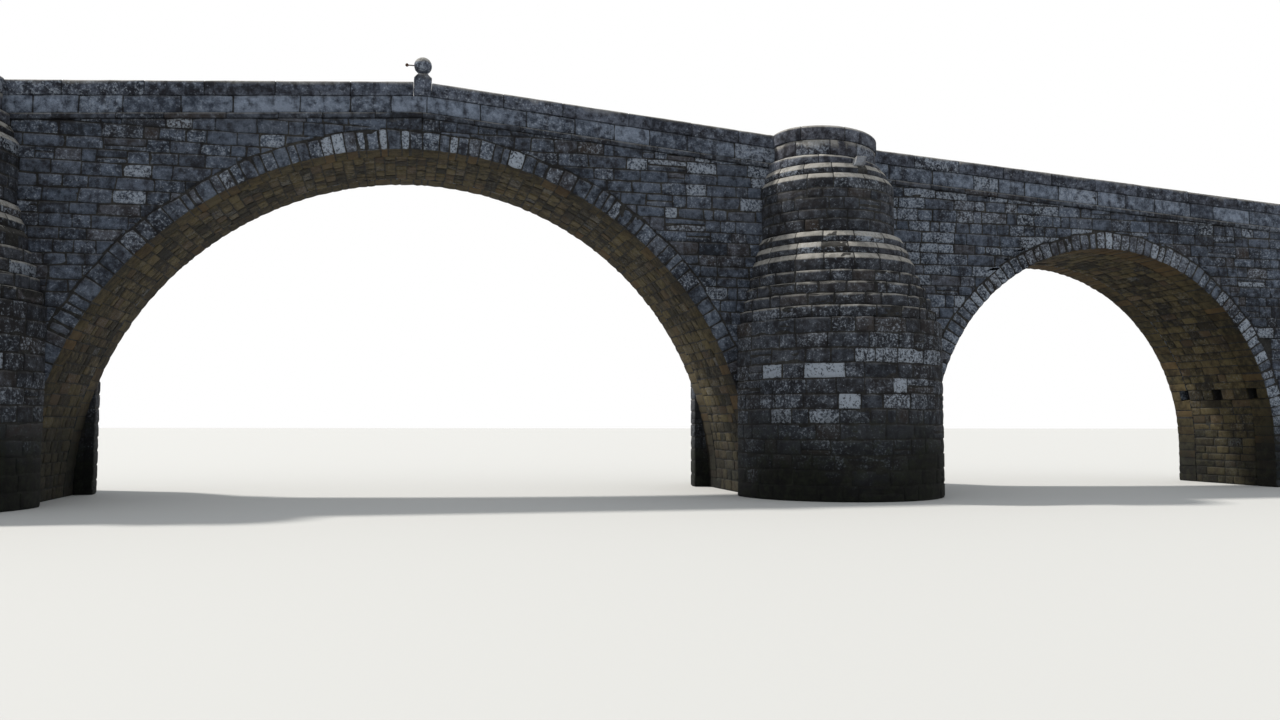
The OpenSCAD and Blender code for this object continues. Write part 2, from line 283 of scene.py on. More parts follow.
def levels(bottom, top, step, rng):
    """Places of the joints from bottom to top, about one step apart."""
    return uneven(bottom, top, max(1, round((top - bottom) / step)), (0.84, 1.16), rng)


def bed_wave(x, z, waver):
    """How far a bed that was laid by eye wanders from its level."""
    return waver * (0.65 * np.sin(1.9 * x + 9.1 * z) + 0.35 * np.sin(5.3 * x + 23.0 * z))


def squared(left, right, base, top, lean_left=0.0, lean_right=0.0):
    """Eight points round a squared stone: its corners and the middles of its sides."""
    middle, half = (left + right) / 2, (base + top) / 2
    return np.array([
        (left - lean_left, base), (middle, base), (right - lean_right, base), (right, half),
        (right + lean_right, top), (middle, top), (left + lean_left, top), (left, half),
    ])


def coursed(start, end, beds, length, rng, waver=0.008, thin=0.0):
    """Outlines of stones in courses: the joints lean, the beds wander, and now and then a thin pair shows."""
    found, rows = [], []
    for row, (low, high) in enumerate(pairwise(beds)):
        count = max(1, round((end - start) / (length * rng.uniform(0.8, 1.25))))
        cuts = uneven(start, end, count, (0.5, 1.6), rng)
        leans = rng.normal(0.0, 0.5 * waver, len(cuts))
        leans[[0, -1]] = 0.0
        for (left, right), (lean_left, lean_right) in zip(pairwise(cuts), pairwise(leans)):
            heights = [low, high]
            if rng.random() < thin:
                heights.insert(1, low + (high - low) * rng.uniform(0.35, 0.65))
            for base, top in pairwise(heights):
                outline = squared(left, right, base, top, lean_left, lean_right)
                loose = (np.abs(outline[:, 1] - beds[0]) > 1e-6) & (np.abs(outline[:, 1] - beds[-1]) > 1e-6)
                outline[:, 1] += np.where(loose, bed_wave(outline[:, 0], outline[:, 1], waver), 0.0)
                found.append(outline)
                rows.append(row)
    return found, np.array(rows)


def trimmed(outline, normal, limit):
    """Cuts off what lies past a straight line."""
    past = outline @ np.asarray(normal) - limit
    kept = []
    for here, there, a, b in zip(outline, np.roll(outline, -1, 0), past, np.roll(past, -1)):
        if a >= 0:
            kept.append(here)
        if a * b < 0:
            kept.append(here + (there - here) * a / (a - b))
    return np.array(kept).reshape(-1, 2)


def eight_points(outline):
    """Gives a trimmed outline its eight points again."""
    points = list(outline)
    while len(points) < POINTS:
        gaps = [np.linalg.norm(points[i] - points[i - 1]) for i in range(len(points))]
        widest = int(np.argmax(gaps))
        points.insert(widest, (points[widest] + points[widest - 1]) / 2)
    while len(points) > POINTS:
        corners = []
        for i, point in enumerate(points):
            a, b = points[i - 1] - point, points[(i + 1) % len(points)] - point
            corners.append(abs(a[0] * b[1] - a[1] * b[0]))
        points.pop(int(np.argmin(corners)))
    return np.array(points)


def blunted(outline):
    """Cuts off the thin tips that no stone has; mortar fills their place."""
    outline = outline[np.linalg.norm(outline - np.roll(outline, 1, 0), axis=1) > LEAST_SIDE]
    for before, tip, after in zip(np.roll(outline, 1, 0), outline, np.roll(outline, -1, 0)):
        a, b = (before - tip) / np.linalg.norm(before - tip), (after - tip) / np.linalg.norm(after - tip)
        half = 0.5 * math.acos(float(np.clip(a @ b, -1.0, 1.0)))
        if half < SHARP:
            inward = (a + b) / np.linalg.norm(a + b)
            outline = trimmed(outline, inward, inward @ tip + BLUNT_W / 2 / math.tan(half))
    return outline


def area_of(outline):
    """Area inside an outline."""
    x, y = outline[:, 0], outline[:, 1]
    return 0.5 * float(np.sum(x * np.roll(y, -1) - np.roll(x, -1) * y))


def big_enough(outline, least=LEAST_AREA):
    """Whether a trimmed outline still holds a stone."""
    return len(outline) > 2 and area_of(outline) > least


def ring_depth(turn, radius):
    """Depth of the arch stones at an angle round an arch; their backs were left uneven."""
    run = turn * radius
    wave = 0.014 * np.sin(1.7 * run + 1.1) + 0.011 * np.sin(4.3 * run + 0.4) + 0.009 * np.sin(11.3 * run)
    return RING_T - 0.036 + wave


def clear_of_arches(outline):
    """Trims a stone to the back of the arch stones beside it."""
    for x, spring, radius in ARCHES:
        away = outline.mean(0) - (x, spring)
        if np.linalg.norm(away) > radius + RING_T + NEAR_RING:
            continue
        normal = away / np.linalg.norm(away) if away[1] > 0 else np.array([np.sign(away[0]), 0.0])
        turn = math.atan2(max(away[1], 0.0), away[0])
        out = radius + ring_depth(turn, radius) + RING_GAP
        outline = trimmed(outline, normal, normal @ (x, spring) + out)
        if len(outline) < 3:
            return outline
    return outline


def under_road(outline):
    """Trims a stone to the underside of the string course."""
    x = outline[:, 0].mean()
    slope = (parapet_top(x + 0.01) - parapet_top(x - 0.01)) / 0.02
    ceiling = parapet_top(x) - PARAPET_H - STRING_H
    return trimmed(outline, (slope, -1.0), slope * x - ceiling)


def behind_shaft(x, z):
    """Whether a round shaft hides the wall at a place on the face."""
    middle = np.interp(z, [2.3, 3.5], [CUTWATER_X, SHAFT_X])
    return abs(abs(x) - middle) < np.interp(z, *zip(*SHAFT_OUTLINE)) - SHAFT_COVER and z < SHAFT_TOP


def wall_stones(start, end, beds, rng):
    """Outlines of the wall stones that show, fitted round the arches and under the road."""
    kept, rows = [], []
    for outline, row in zip(*coursed(start, end, beds, STONE_L, rng, thin=0.07)):
        if behind_shaft(*outline.mean(0)):
            continue
        outline = clear_of_arches(outline)
        if len(outline) > 2:
            outline = under_road(outline)
        if big_enough(outline):
            outline = blunted(outline)
        if big_enough(outline):
            kept.append(eight_points(outline))
            rows.append(row)
    return kept, np.array(rows)


def finish_of(count, rng, pale=0.08, warm=0.16):
    """Tone, lichen and warmth of each stone."""
    tone = np.clip(rng.normal(0.5, 0.26, count), 0.0, 1.0)
    lichen = np.where(rng.random(count) < pale, rng.uniform(0.3, 0.62, count), rng.uniform(0.0, 0.3, count))
    ochre = np.where(rng.random(count) < warm, rng.uniform(0.4, 1.0, count), rng.uniform(0.0, 0.25, count))
    return np.stack((tone, lichen, ochre), axis=1)


def lay_stones(outlines, surface, rng, finish=None, depth=BED_D, joint=0.0022, worn=0.009, proud=0.009,
               dirt=(1.0, 0.8, 0.15, 0.0, 0.0)):
    """Copies the rough stone into every outline and sets it in its surface, never outside the CAD face."""
    points = np.array(outlines)
    count = len(points)
    ahead = np.roll(points, -1, axis=1) - points
    run = np.linalg.norm(ahead, axis=2, keepdims=True)
    inward = np.stack((-ahead[..., 1], ahead[..., 0]), axis=2) / np.maximum(run, 1e-9)
    before = np.roll(inward, 1, axis=1)
    meet = (inward * before).sum(2, keepdims=True)
    mitre = (inward + before) / np.maximum(1.0 + meet, 0.6)
    areas = np.array([area_of(p) for p in points])
    fit = (1.4 * areas / run.sum((1, 2)))[:, None, None]
    centre = points.mean(1, keepdims=True)

    # how far each ring of the stone lies in from the outline, and how much it wanders
    corner = 1.0 - np.clip(meet, 0.0, 1.0)
    edge = np.minimum(joint + corner * 0.6 * worn * rng.uniform(0.3, 1.4, points.shape[:2] + (1,)), 0.2 * fit)
    round_off = np.minimum(worn * rng.uniform(0.7, 1.4, (count, 1, 1)), 0.3 * fit)
    insets = (edge, edge, edge + round_off, edge + round_off + 0.42 * fit)
    wobble = (0.0016, 0.0016, 0.003, 0.006)
    shift = rng.normal(0.0, 1.0, points.shape)
    flat = [
        points + mitre * inset + shift * np.minimum(size, 0.06 * fit)
        for inset, size in zip(insets, wobble)
    ]
    flat.append(np.repeat(centre, POINTS, axis=1))

    # how far each ring stands out of the wall: the back is bedded, the face swells and may tilt a little
    front = -rng.uniform(0.0, proud, (count, 1))
    tilt = rng.normal(0.0, 0.012, (count, 1, 2))
    drop = round_off[:, :, 0] * 0.9
    swell = np.minimum(0.004, 0.08 * fit[:, :, 0])
    rise = [None, front - drop, front - drop * 0.12, front + swell, front + swell]
    rough = (0.0, 0.001, 0.002, 0.003, 0.003)
    shape = np.zeros((count, len(STONE_RINGS), 3))
    back = -np.broadcast_to(np.asarray(depth, float).reshape(-1, 1), (count, 1))
    for ring in range(5):
        if ring == 0:
            level = np.repeat(back, POINTS, axis=1)
        else:
            level = rise[ring] + ((flat[ring] - centre) * tilt).sum(2)
            level = level + rng.normal(0.0, rough[ring], (count, POINTS))
            level = np.minimum(level, -0.0003 - drop * (0.6 if ring == 1 else 0.0))
        at = np.flatnonzero(STONE_RINGS == ring)
        shape[:, at, :2] = flat[ring][:, STONE_TURNS[at]]
        shape[:, at, 2] = level[:, STONE_TURNS[at]]
    places = surface(shape[..., 0], shape[..., 1], shape[..., 2]).reshape(-1, 3)
    faces = [tuple(v + i * len(STONE_RINGS) for v in face) for i in range(count) for face in STONE_FACES]
    finish = finish_of(count, rng) if finish is None else finish
    # each point's share of the dark joint colour: dirt and painted shade, most at the back and round the worn
    # edge
    marks = np.tile(np.array(dirt)[STONE_RINGS], count)
    return Part(places, faces, np.repeat(finish, len(STONE_FACES), axis=0), marks, 1)


def on_face(side):
    """Lays outlines of x and height on the front or back face."""
    return lambda u, v, d: np.stack((-side * u, side * (HALF_W + d), v), axis=-1)


def one_finish(places, faces, finish, kind):
    """A part that has the same finish all over and no joints."""
    return Part(places, faces, np.tile(finish, (len(faces), 1)), np.zeros(len(places)), kind)


def mortar_core(node, recess=0.012):
    """A copy of the CAD solid, taken back by the depth of the joints, that the stones are bedded in."""
    bpy.ops.object.select_all(action="DESELECT")
    made = bpy.data.objects.new("core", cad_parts[node].data.copy())
    bpy.context.scene.collection.objects.link(made)
    bpy.context.view_layer.objects.active = made
    made.select_set(True)
    bpy.ops.object.mode_set(mode="EDIT")
    bpy.ops.mesh.select_all(action="SELECT")
    bpy.ops.mesh.remove_doubles(threshold=0.0002)
    bpy.ops.transform.shrink_fatten(value=-recess, use_even_offset=True)
    bpy.ops.object.mode_set(mode="OBJECT")
    places, faces = lifted_off(made)
    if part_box(node)[0].z < 0.001:
        places[places[:, 2] < 1.5 * recess, 2] = 0.0
    return one_finish(places, faces, MORTAR_FINISH, 0)


def build(name, parts, materials):
    """Joins the core and the stones of one piece into one mesh at the origin."""
    places = np.clip(np.vstack([part.places for part in parts]), list(cad_box[0]), list(cad_box[1]))
    faces, kinds, start = [], [], 0
    for part in parts:
        faces += [tuple(v + start for v in face) for face in part.faces]
        kinds += [part.kind] * len(part.faces)
        start += len(part.places)
    mesh = bpy.data.meshes.new(name)
    mesh.from_pydata(places.tolist(), [], faces)
    mesh.polygons.foreach_set("material_index", kinds)
    finish = np.vstack([part.finish for part in parts])
    sizes = [len(face) for face in faces]
    corners = np.repeat(np.hstack((finish, np.ones((len(finish), 1)))), sizes, axis=0)
    marks = np.concatenate([part.marks for part in parts])
    stone = mesh.attributes.new("stone", "FLOAT_COLOR", "CORNER")
    stone.data.foreach_set("color", corners.astype(np.float32).ravel())
    joint = mesh.attributes.new("joint", "FLOAT", "POINT")
    joint.data.foreach_set("value", marks.astype(np.float32))
    for material in materials:
        mesh.materials.append(material)
    made = bpy.data.objects.new(name, mesh)
    bpy.context.scene.collection.objects.link(made)
    bpy.ops.object.select_all(action="DESELECT")
    bpy.context.view_layer.objects.active = made
    made.select_set(True)
    bpy.ops.object.shade_smooth_by_angle(angle=math.radians(50))
    return made


mortar = granite("lime_mortar", (20, 21, 22), (52, 52, 51), damp=0.8, lichen=0.2, crust=0.4, bleach_and_sunlight=0.1)
wall_granite = granite("wall_granite", (27, 31, 38), (83, 92, 107), damp=1.0)
lower_beds = levels(0.0, PIER_H, COURSE_H, np.random.default_rng(3))
upper_beds = np.append(levels(PIER_H, TOP_BEDS[0], COURSE_H, np.random.default_rng(4)), TOP_BEDS[1])

for sign, hand in HANDS:
    rng = np.random.default_rng(10 + sign)
    parts = [mortar_core("pier_" + hand)]
    for side in (FRONT, BACK):
        for sliver in PIER_SLIVERS:
            near, far = sorted(sign * -side * edge for edge in sliver)
            outlines, rows = wall_stones(near, far, lower_beds, rng)
            parts.append(lay_stones(outlines, on_face(side), rng))
    pier = build(f"pier_{hand}_masonry", parts, (mortar, wall_granite))
    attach(pier, "root")
    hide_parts("pier_" + hand)

# Abutments
# The arches end on solid masonry at the road ends, coursed like the piers.
# Long and short stones take turns at the two corners of each end.
END_STONE_L = 0.33
QUOIN_LONG = 0.30
QUOIN_SHORT = 0.15
LEAST_COURSE = 0.03


def quoin_depth(row):
    """How far the corner stone of a course reaches round the end."""
    return QUOIN_LONG if row % 2 == 0 else QUOIN_SHORT


def face_depths(outlines, rows):
    """Depth of each stone of a face: the corner stones reach round the end, the others are bedded."""
    at_end = [np.abs(outline[:, 0]).max() > HALF_L - 0.01 for outline in outlines]
    return np.array([quoin_depth(row) if end else BED_D for row, end in zip(rows, at_end)])


def end_stones(sign, beds, rng, ceiling=math.inf):
    """Stones of a road end, between the corner stones of the two faces."""
    outlines = []
    for row, (low, high) in enumerate(pairwise(beds)):
        inner = HALF_W - quoin_depth(row)
        high = min(high, ceiling)
        if high - low > LEAST_COURSE:
            outlines += coursed(-inner, inner, np.array([low, high]), END_STONE_L, rng)[0]
    return lay_stones(outlines, lambda u, v, d: np.stack((sign * (HALF_L + d), sign * u, v), axis=-1), rng)


for sign, hand in HANDS:
    rng = np.random.default_rng(20 + sign)
    parts = [mortar_core("abutment_" + hand)]
    for side in (FRONT, BACK):
        near, far = sorted((sign * -side * (SIDE_X + SIDE_R), sign * -side * HALF_L))
        outlines, rows = wall_stones(near, far, lower_beds, rng)
        parts.append(lay_stones(outlines, on_face(side), rng, depth=face_depths(outlines, rows)))
    parts.append(end_stones(sign, lower_beds, rng))
    parts.append(end_stones(sign, upper_beds, rng, ceiling=parapet_top(HALF_L) - PARAPET_H - STRING_H))
    abutment = build(f"abutment_{hand}_masonry", parts, (mortar, wall_granite))
    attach(abutment, "root")
    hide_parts("abutment_" + hand)

# Side arches
# Each barrel is built of courses of small stones over timber centring, whose square sockets stay open.
# Two rings of longer stones face it, true below, uneven at their backs, and stained ochre under the crown.
RING_D = 0.38
BARREL_HALF = HALF_W - RING_D
SOFFIT_COURSE = 0.13
SOFFIT_L = 0.25
SOCKET_STONE_L = 0.26
SOCKET_RISE = 0.775
SOCKET_H = 0.165
SOCKET_W = 0.19
SOCKET_GAP = 0.7
SOCKET_PLAY = 0.004
RING_PLAY = 0.002
VOUSSOIR_W = 0.135
# how much joint dirt and painted shade each ring of a voussoir takes, most at its edge
VOUSSOIR_DIRT_AND_SHADE = (0.2, 0.65, 0.15, 0.0, 0.0)
STRIP_W = 0.11
STRIP_SET = 0.013
STRIP_T = 0.03
OCHRE_REACH = 1.4
OCHRE_DARK = (29, 27, 18)
OCHRE_LIGHT = (84, 75, 50)
soffit_granite = granite(
    "soffit_granite", (25, 24, 16), OCHRE_LIGHT, damp=0.75, ochre=0.75, lichen=0.25, varied=0.9,
)
ring_granite = granite(
    "ring_granite", (30, 34, 42), (92, 101, 115), damp=0.9, ochre=0.25, lichen=1.2,
    under=(OCHRE_DARK, OCHRE_LIGHT),
)


class Arch:
    """One arch: where a length along its inner edge lies, from the left foot over the crown."""

    def __init__(self, x, radius, spring):
        self.x, self.radius, self.spring = x, radius, spring
        self.length = math.pi * radius + 2 * spring

    def turn(self, run):
        """Angle round the arch at a length along it, from its left springing."""
        return np.clip((run - self.spring) / self.radius, 0.0, math.pi)

    def at(self, run, out):
        """x and height of a point that lies out from the inner edge at a length along it."""
        legs = np.where(run < self.spring, run - self.spring, 0.0)
        legs = np.where(run > self.length - self.spring, self.length - self.spring - run, legs)
        turn, reach = self.turn(run), self.radius + out
        return self.x - reach * np.cos(turn), self.spring + reach * np.sin(turn) + legs

    def soffit(self, u, v, d):
        """Lays outlines of place across the bridge and length along the arch on the soffit."""
        x, z = self.at(v, -d)
        return np.stack((x, u, z), axis=-1)


def voussoir_joints(arch, width, rng, keep=()):
    """Lengths along an arch at which its face stones meet; keep holds spans that stay whole."""
    marks = [0.0] + [mark for span in keep for mark in span] + [arch.length]
    found = []
    for span in pairwise(marks):
        found += [span[0]] if span in keep else list(levels(*span, width, rng)[:-1])
    return np.array(found + [arch.length])


def voussoirs(arch, joints, side, rng, finish, depth):
    """Face stones of one arch ring, deep ones and short ones side by side; they show on the soffit too."""
    outlines = []
    for low, high in pairwise(joints):
        middle = (low + high) / 2
        runs = np.array([low, low, low, middle, high, high, high, middle])
        turn = arch.turn(runs)
        back = ring_depth(math.pi - turn if side == FRONT else turn, arch.radius) - rng.uniform(0.0, 0.012)
        x, z = arch.at(runs, np.array([0.0, 0.5, 1.0, 1.0, 1.0, 0.5, 0.0, 0.0]) * back)
        outline = np.stack((-side * x, z), axis=-1)
        outlines.append(outline if area_of(outline) > 0 else outline[::-1])
    return lay_stones(
        outlines, on_face(side), rng, finish=finish, depth=depth, joint=0.003, worn=0.011, proud=0.012,
        dirt=VOUSSOIR_DIRT_AND_SHADE,
    )


def in_order(places, faces, among=None):
    """Numbers points and faces by their places, the same in each run; among picks the points to number."""
    picked = np.arange(len(places)) if among is None else np.flatnonzero(among)
    order = np.arange(len(places))
    order[picked] = picked[np.lexsort(np.round(places[picked], 5).T[::-1])]
    number = np.argsort(order)
    renumbered = []
    for face in faces:
        corners = number[list(face)].tolist()
        first = corners.index(min(corners))
        renumbered.append(tuple(corners[first:] + corners[:first]))
    return places[order], sorted(renumbered)


def mortar_strip(arch, side):
    """The mortar round the backs of one ring, a strip bent round the arch just under the face."""
    bpy.ops.object.select_all(action="DESELECT")
    bpy.ops.mesh.primitive_grid_add(x_subdivisions=64, y_subdivisions=1, size=1.0, location=(0, 0, 0))
    made = bpy.context.active_object
    bpy.ops.object.mode_set(mode="EDIT")
    bpy.ops.mesh.select_all(action="SELECT")
    bpy.ops.mesh.extrude_region_move(TRANSFORM_OT_translate={"value": (0.0, 0.0, 1.0)})
    bpy.ops.mesh.select_all(action="SELECT")
    bpy.ops.mesh.normals_make_consistent(inside=False)
    bpy.ops.object.mode_set(mode="OBJECT")
    shape, faces = in_order(*lifted_off(made))
    faces = [face[::-1] for face in faces] if side == FRONT else faces
    x, z = arch.at((shape[:, 0] + 0.5) * arch.length, RING_T + STRIP_W * shape[:, 1])
    places = np.stack((x, side * (HALF_W - STRIP_SET - STRIP_T * shape[:, 2]), z), axis=-1)
    return one_finish(places, faces, MORTAR_FINISH, 0)


def socket_spans(arch):
    """Lengths along a side arch between which its sockets lie."""
    half = SOCKET_H / 2 + SOCKET_PLAY
    low = arch.spring + math.asin(SOCKET_RISE / arch.radius) * arch.radius - half
    return ((low, low + 2 * half), (arch.length - low - 2 * half, arch.length - low))


def soffit_stones(arch, joints, keep, rng):
    """Small soffit stones of a barrel, left out where a socket is."""
    near, far = SOCKET_W / 2, SOCKET_GAP - SOCKET_W / 2
    outlines = []
    for span in pairwise(joints):
        if span in keep:
            for start, end in ((-far, -near), (near, far)):
                outlines += coursed(start, end, np.array(span), SOCKET_STONE_L, rng, waver=0.0)[0]
        else:
            outlines += coursed(-BARREL_HALF, BARREL_HALF, np.array(span), SOFFIT_L, rng, waver=0.003)[0]
    return lay_stones(outlines, arch.soffit, rng, worn=0.008)


side_arches = {"left": Arch(-SIDE_X, SIDE_R, SIDE_SPRING), "right": Arch(SIDE_X, SIDE_R, SIDE_SPRING)}
for number, (hand, arch) in enumerate(side_arches.items()):
    rng = np.random.default_rng(30 + number)
    spans = socket_spans(arch)
    courses = voussoir_joints(arch, SOFFIT_COURSE, rng, spans)
    parts = [mortar_core(hand + "_barrel"), soffit_stones(arch, courses, spans, rng)]
    barrel = build(hand + "_barrel_masonry", parts, (mortar, soffit_granite))
    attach(barrel, "root")
    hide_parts(hand + "_barrel")

for side, word in FACES:
    rng = np.random.default_rng(34 + side)
    parts = [mortar_core("side_rings_" + word)]
    for arch in side_arches.values():
        spans = socket_spans(arch)
        joints = voussoir_joints(arch, VOUSSOIR_W, rng, spans)
        whole = [any(abs(low - span[0]) < 1e-6 for span in spans) for low in joints[:-1]]
        depth = np.where(whole, HALF_W - SOCKET_GAP - SOCKET_W / 2 - SOCKET_PLAY, RING_D - RING_PLAY)
        finish = finish_of(len(whole), rng, pale=0.1)
        finish[:, 1] += rng.uniform(0.0, 0.35, len(finish))
        crown = np.abs((joints[:-1] + joints[1:]) / 2 - arch.length / 2) < OCHRE_REACH
        finish[crown, 2] = rng.uniform(0.3, 1.0, crown.sum())
        parts += [mortar_strip(arch, side), voussoirs(arch, joints, side, rng, finish, depth)]
    rings = build(f"side_rings_{word}_masonry", parts, (mortar, ring_granite))
    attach(rings, "root")
    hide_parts("side_rings_" + word)

# Main arch
# The great half-circle springs at the foot of the piers: ochre soffit courses between two face rings.
# Single stones of the ring near the crown are white with lichen, at these angles and this much.
MAIN_COURSE = 0.14
MAIN_VOUSSOIR_W = 0.155
PALE_RING_TONE = 0.8
PALE_VOUSSOIRS = (
    (67.6, 0.3), (75.3, 0.7), (80.0, 0.4), (85.6, 0.6), (89.0, 0.4), (93.4, 0.6), (95.5, 0.65), (99.0, 0.5),
    (102.5, 0.7), (104.5, 0.6),
)
main_arch = Arch(0.0, MAIN_R, 0.0)
rng = np.random.default_rng(40)
courses = voussoir_joints(main_arch, MAIN_COURSE, rng)
parts = [mortar_core("main_barrel"), soffit_stones(main_arch, courses, (), rng)]
main_barrel = build("main_barrel_masonry", parts, (mortar, soffit_granite))
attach(main_barrel, "root")
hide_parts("main_barrel")

for side, word in FACES:
    rng = np.random.default_rng(44 + side)
    count = round(main_arch.length / MAIN_VOUSSOIR_W)
    joints = uneven(0.0, main_arch.length, count, (0.6, 1.5), rng)
    finish = finish_of(count, rng, pale=0.04)
    angles = 180.0 - np.degrees((joints[:-1] + joints[1:]) / 2 / MAIN_R)
    for angle, lichen in PALE_VOUSSOIRS:
        finish[np.argmin(np.abs(angles - angle)), :2] = (PALE_RING_TONE, lichen)
    parts = [mortar_core("main_ring_" + word), mortar_strip(main_arch, side)]
    parts.append(voussoirs(main_arch, joints, side, rng, finish, RING_D - RING_PLAY))
    ring = build(f"main_ring_{word}_masonry", parts, (mortar, ring_granite))
    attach(ring, "root")
    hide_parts("main_ring_" + word)

# Side walls
# The walls over the arches hold the fill of the road. Their level courses are cut to the rings
# and to the slope of the road. Right of the turret many stones are pale with lichen.
PALE_WALL = (6.3, 9.6)
PALE_SHARE = 0.4
QUARTERS = [(side, sign, f"{word}_{hand}") for side, word in FACES for sign, hand in HANDS]

for side, sign, quarter in QUARTERS:
    rng = np.random.default_rng(50 + 2 * side + sign)
    near, far = sorted((0.0, -side * sign * HALF_L))
    outlines, rows = wall_stones(near, far, upper_beds, rng)
    finish = finish_of(len(outlines), rng)
    if quarter == "front_right":
        along = np.array([outline[:, 0].mean() for outline in outlines])
        pale = (along > PALE_WALL[0]) & (along < PALE_WALL[1]) & (rng.random(len(along)) < PALE_SHARE)
        finish[pale, 1] = rng.uniform(0.3, 0.55, pale.sum())
    stones = lay_stones(outlines, on_face(side), rng, finish=finish, depth=face_depths(outlines, rows))
    wall = build(f"wall_{quarter}_masonry", [mortar_core("wall_" + quarter), stones], (mortar, wall_granite))
    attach(wall, "root")
    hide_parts("wall_" + quarter)

# Cutwaters
# Round granite cutwaters stand against both faces of each pier, in courses of large squared stones.
# The foot is dark with damp. A few stones are white with lichen, at these angles and heights.
HALF_TURN = math.pi / 2
CUTWATER_R = 1.43
CUTWATER_COURSES = 12
CUTWATER_STONE_L = 0.36
CUTWATER_BOND = 0.12
BACK_COURSES = 6
BACK_EDGE = 0.123
BACK_END = MAIN_R + 0.05
BACK_DIRT_AND_SHADE = 0.2
PALE_TONE = 0.85
PALE_STONES = (
    (-58, 1.54, 0.75), (-33.5, 1.55, 0.8), (-31, 1.14, 0.55), (-20, 1.15, 0.78), (9, 1.35, 0.7),
    (12, 1.16, 0.5), (-6, 1.78, 0.55), (2, 1.83, 0.5), (20.5, 1.85, 0.6), (28, 1.55, 0.35), (33, 1.8, 0.45),
)
cutwater_granite = granite("cutwater_granite", (22, 24, 29), (66, 71, 80), damp=1.0, lichen=1.1)
cutwater_beds = np.linspace(0.0, PIER_H, CUTWATER_COURSES + 1)


def on_drum(side, x, radius):
    """Lays outlines of arc length and height on a round shaft in front of a face."""
    def place(u, v, d):
        turn, reach = u / radius, radius + d
        return np.stack((x - side * reach * np.sin(turn), side * (HALF_W + reach * np.cos(turn)), v), axis=-1)
    return place


def flat_back(side, sign, rng):
    """Stones of the flat back of a cutwater, in the strip beside the main arch behind its edge stones."""
    near, far = sorted(side * sign * edge for edge in (CUTWATER_X - CUTWATER_R + BACK_EDGE, BACK_END))
    outlines = coursed(near, far, cutwater_beds[:BACK_COURSES + 1], far - near, rng, waver=0.003)[0]
    return lay_stones(outlines, lambda u, v, d: np.stack((side * u, side * (HALF_W - d), v), axis=-1), rng)


for side, sign, quarter in QUARTERS:
    rng = np.random.default_rng(60 + 2 * side + sign)
    reach = HALF_TURN * CUTWATER_R
    outlines = coursed(-reach, reach, cutwater_beds, CUTWATER_STONE_L, rng, thin=0.05)[0]
    finish = finish_of(len(outlines), rng, pale=0.03, warm=0.14)
    if quarter == "front_right":
        middles = np.array([outline.mean(0) for outline in outlines])
        for angle, z, lichen in PALE_STONES:
            away = middles - (math.radians(angle) * CUTWATER_R, z)
            finish[np.argmin(np.hypot(away[:, 0], 2 * away[:, 1])), :2] = (PALE_TONE, lichen)
    surface = on_drum(side, sign * CUTWATER_X, CUTWATER_R)
    stones = lay_stones(outlines, surface, rng, finish=finish, depth=CUTWATER_BOND)
    # where the stones meet the wall they take less of the joint dirt and painted shade
    stones.marks[np.abs(stones.places[:, 1]) < HALF_W + 0.02] = BACK_DIRT_AND_SHADE
    parts = [mortar_core("cutwater_" + quarter), stones, flat_back(side, sign, rng)]
    cutwater = build(f"cutwater_{quarter}_masonry", parts, (mortar, cutwater_granite))
    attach(cutwater, "root")
    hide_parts("cutwater_" + quarter)

# Stepped caps
# Over each cutwater thin courses step in, and then three courses with deep weathered slopes.
# The upper sides are painted pale, partly sun-bleached stone and partly painted sunlight, the faces under
# them dark.
LEDGE_N = 5
LEDGE_H = 0.157
LEDGE_IN = 0.056
LEDGE_SHIFT = 0.012
TIER_FACE = 0.08
TIER_SLOPE = 0.074
TIER_IN = 0.044
TIER_SET = 0.016
TIER_N = 3
TIER_BLOCK_L = 0.4
BOND = 0.13
BLOCK_GAP = 0.002
cap_granite = granite("cap_granite", (23, 25, 30), (68, 72, 80), ochre=0.25, lichen=0.9, bleach_and_sunlight=0.68)


def drawn(points, fill="NGON"):
    """Draws an outline through points in space and leaves it selected in edit mode."""
    bpy.ops.object.select_all(action="DESELECT")
    bpy.ops.mesh.primitive_circle_add(vertices=len(points), radius=0.1, fill_type=fill, location=(0, 0, 0))
    made = bpy.context.active_object
    for vertex, point in zip(made.data.vertices, points):
        vertex.co = point
    bpy.ops.object.mode_set(mode="EDIT")
    bpy.ops.mesh.select_all(action="SELECT")
    return made


def drawn_out(points, run):
    """Draws a section and extrudes it along a run; it stays selected in edit mode."""
    made = drawn(points)
    bpy.ops.mesh.extrude_region_move(TRANSFORM_OT_translate={"value": run})
    bpy.ops.mesh.select_all(action="SELECT")
    return made


def moulded_block(section, cuts=1, worn=0.006):
    """Models one dressed block a metre long with that section of (out, up) points, all its edges worn."""
    made = drawn_out([(0.0, out, up) for out, up in section], (1.0, 0.0, 0.0))
    bpy.ops.mesh.normals_make_consistent(inside=False)
    bpy.ops.mesh.bevel(offset=worn, segments=1, affect="EDGES")
    for cut in range(1, cuts + 1):
        bpy.ops.mesh.select_all(action="SELECT")
        bpy.ops.mesh.bisect(plane_co=(cut / (cuts + 1), 0, 0), plane_no=(1, 0, 0))
    bpy.ops.object.mode_set(mode="OBJECT")

    # only the points of the cuts come out in another order from run to run
    places, faces = lifted_off(made)
    of_cuts = (places[:, 0] > 2 * worn) & (places[:, 0] < 1 - 2 * worn)
    return *in_order(places, faces, of_cuts), worn


def sloped_block(radius, low, high, face, step):
    """Models a block of a course with a sloped top: its face, and the slope that leans in over it."""
    inner = radius - step - BOND
    section = [(inner, low), (radius, low), (radius, low + face), (radius - step, high), (inner, high)]
    return moulded_block(section, cuts=3, worn=0.009)


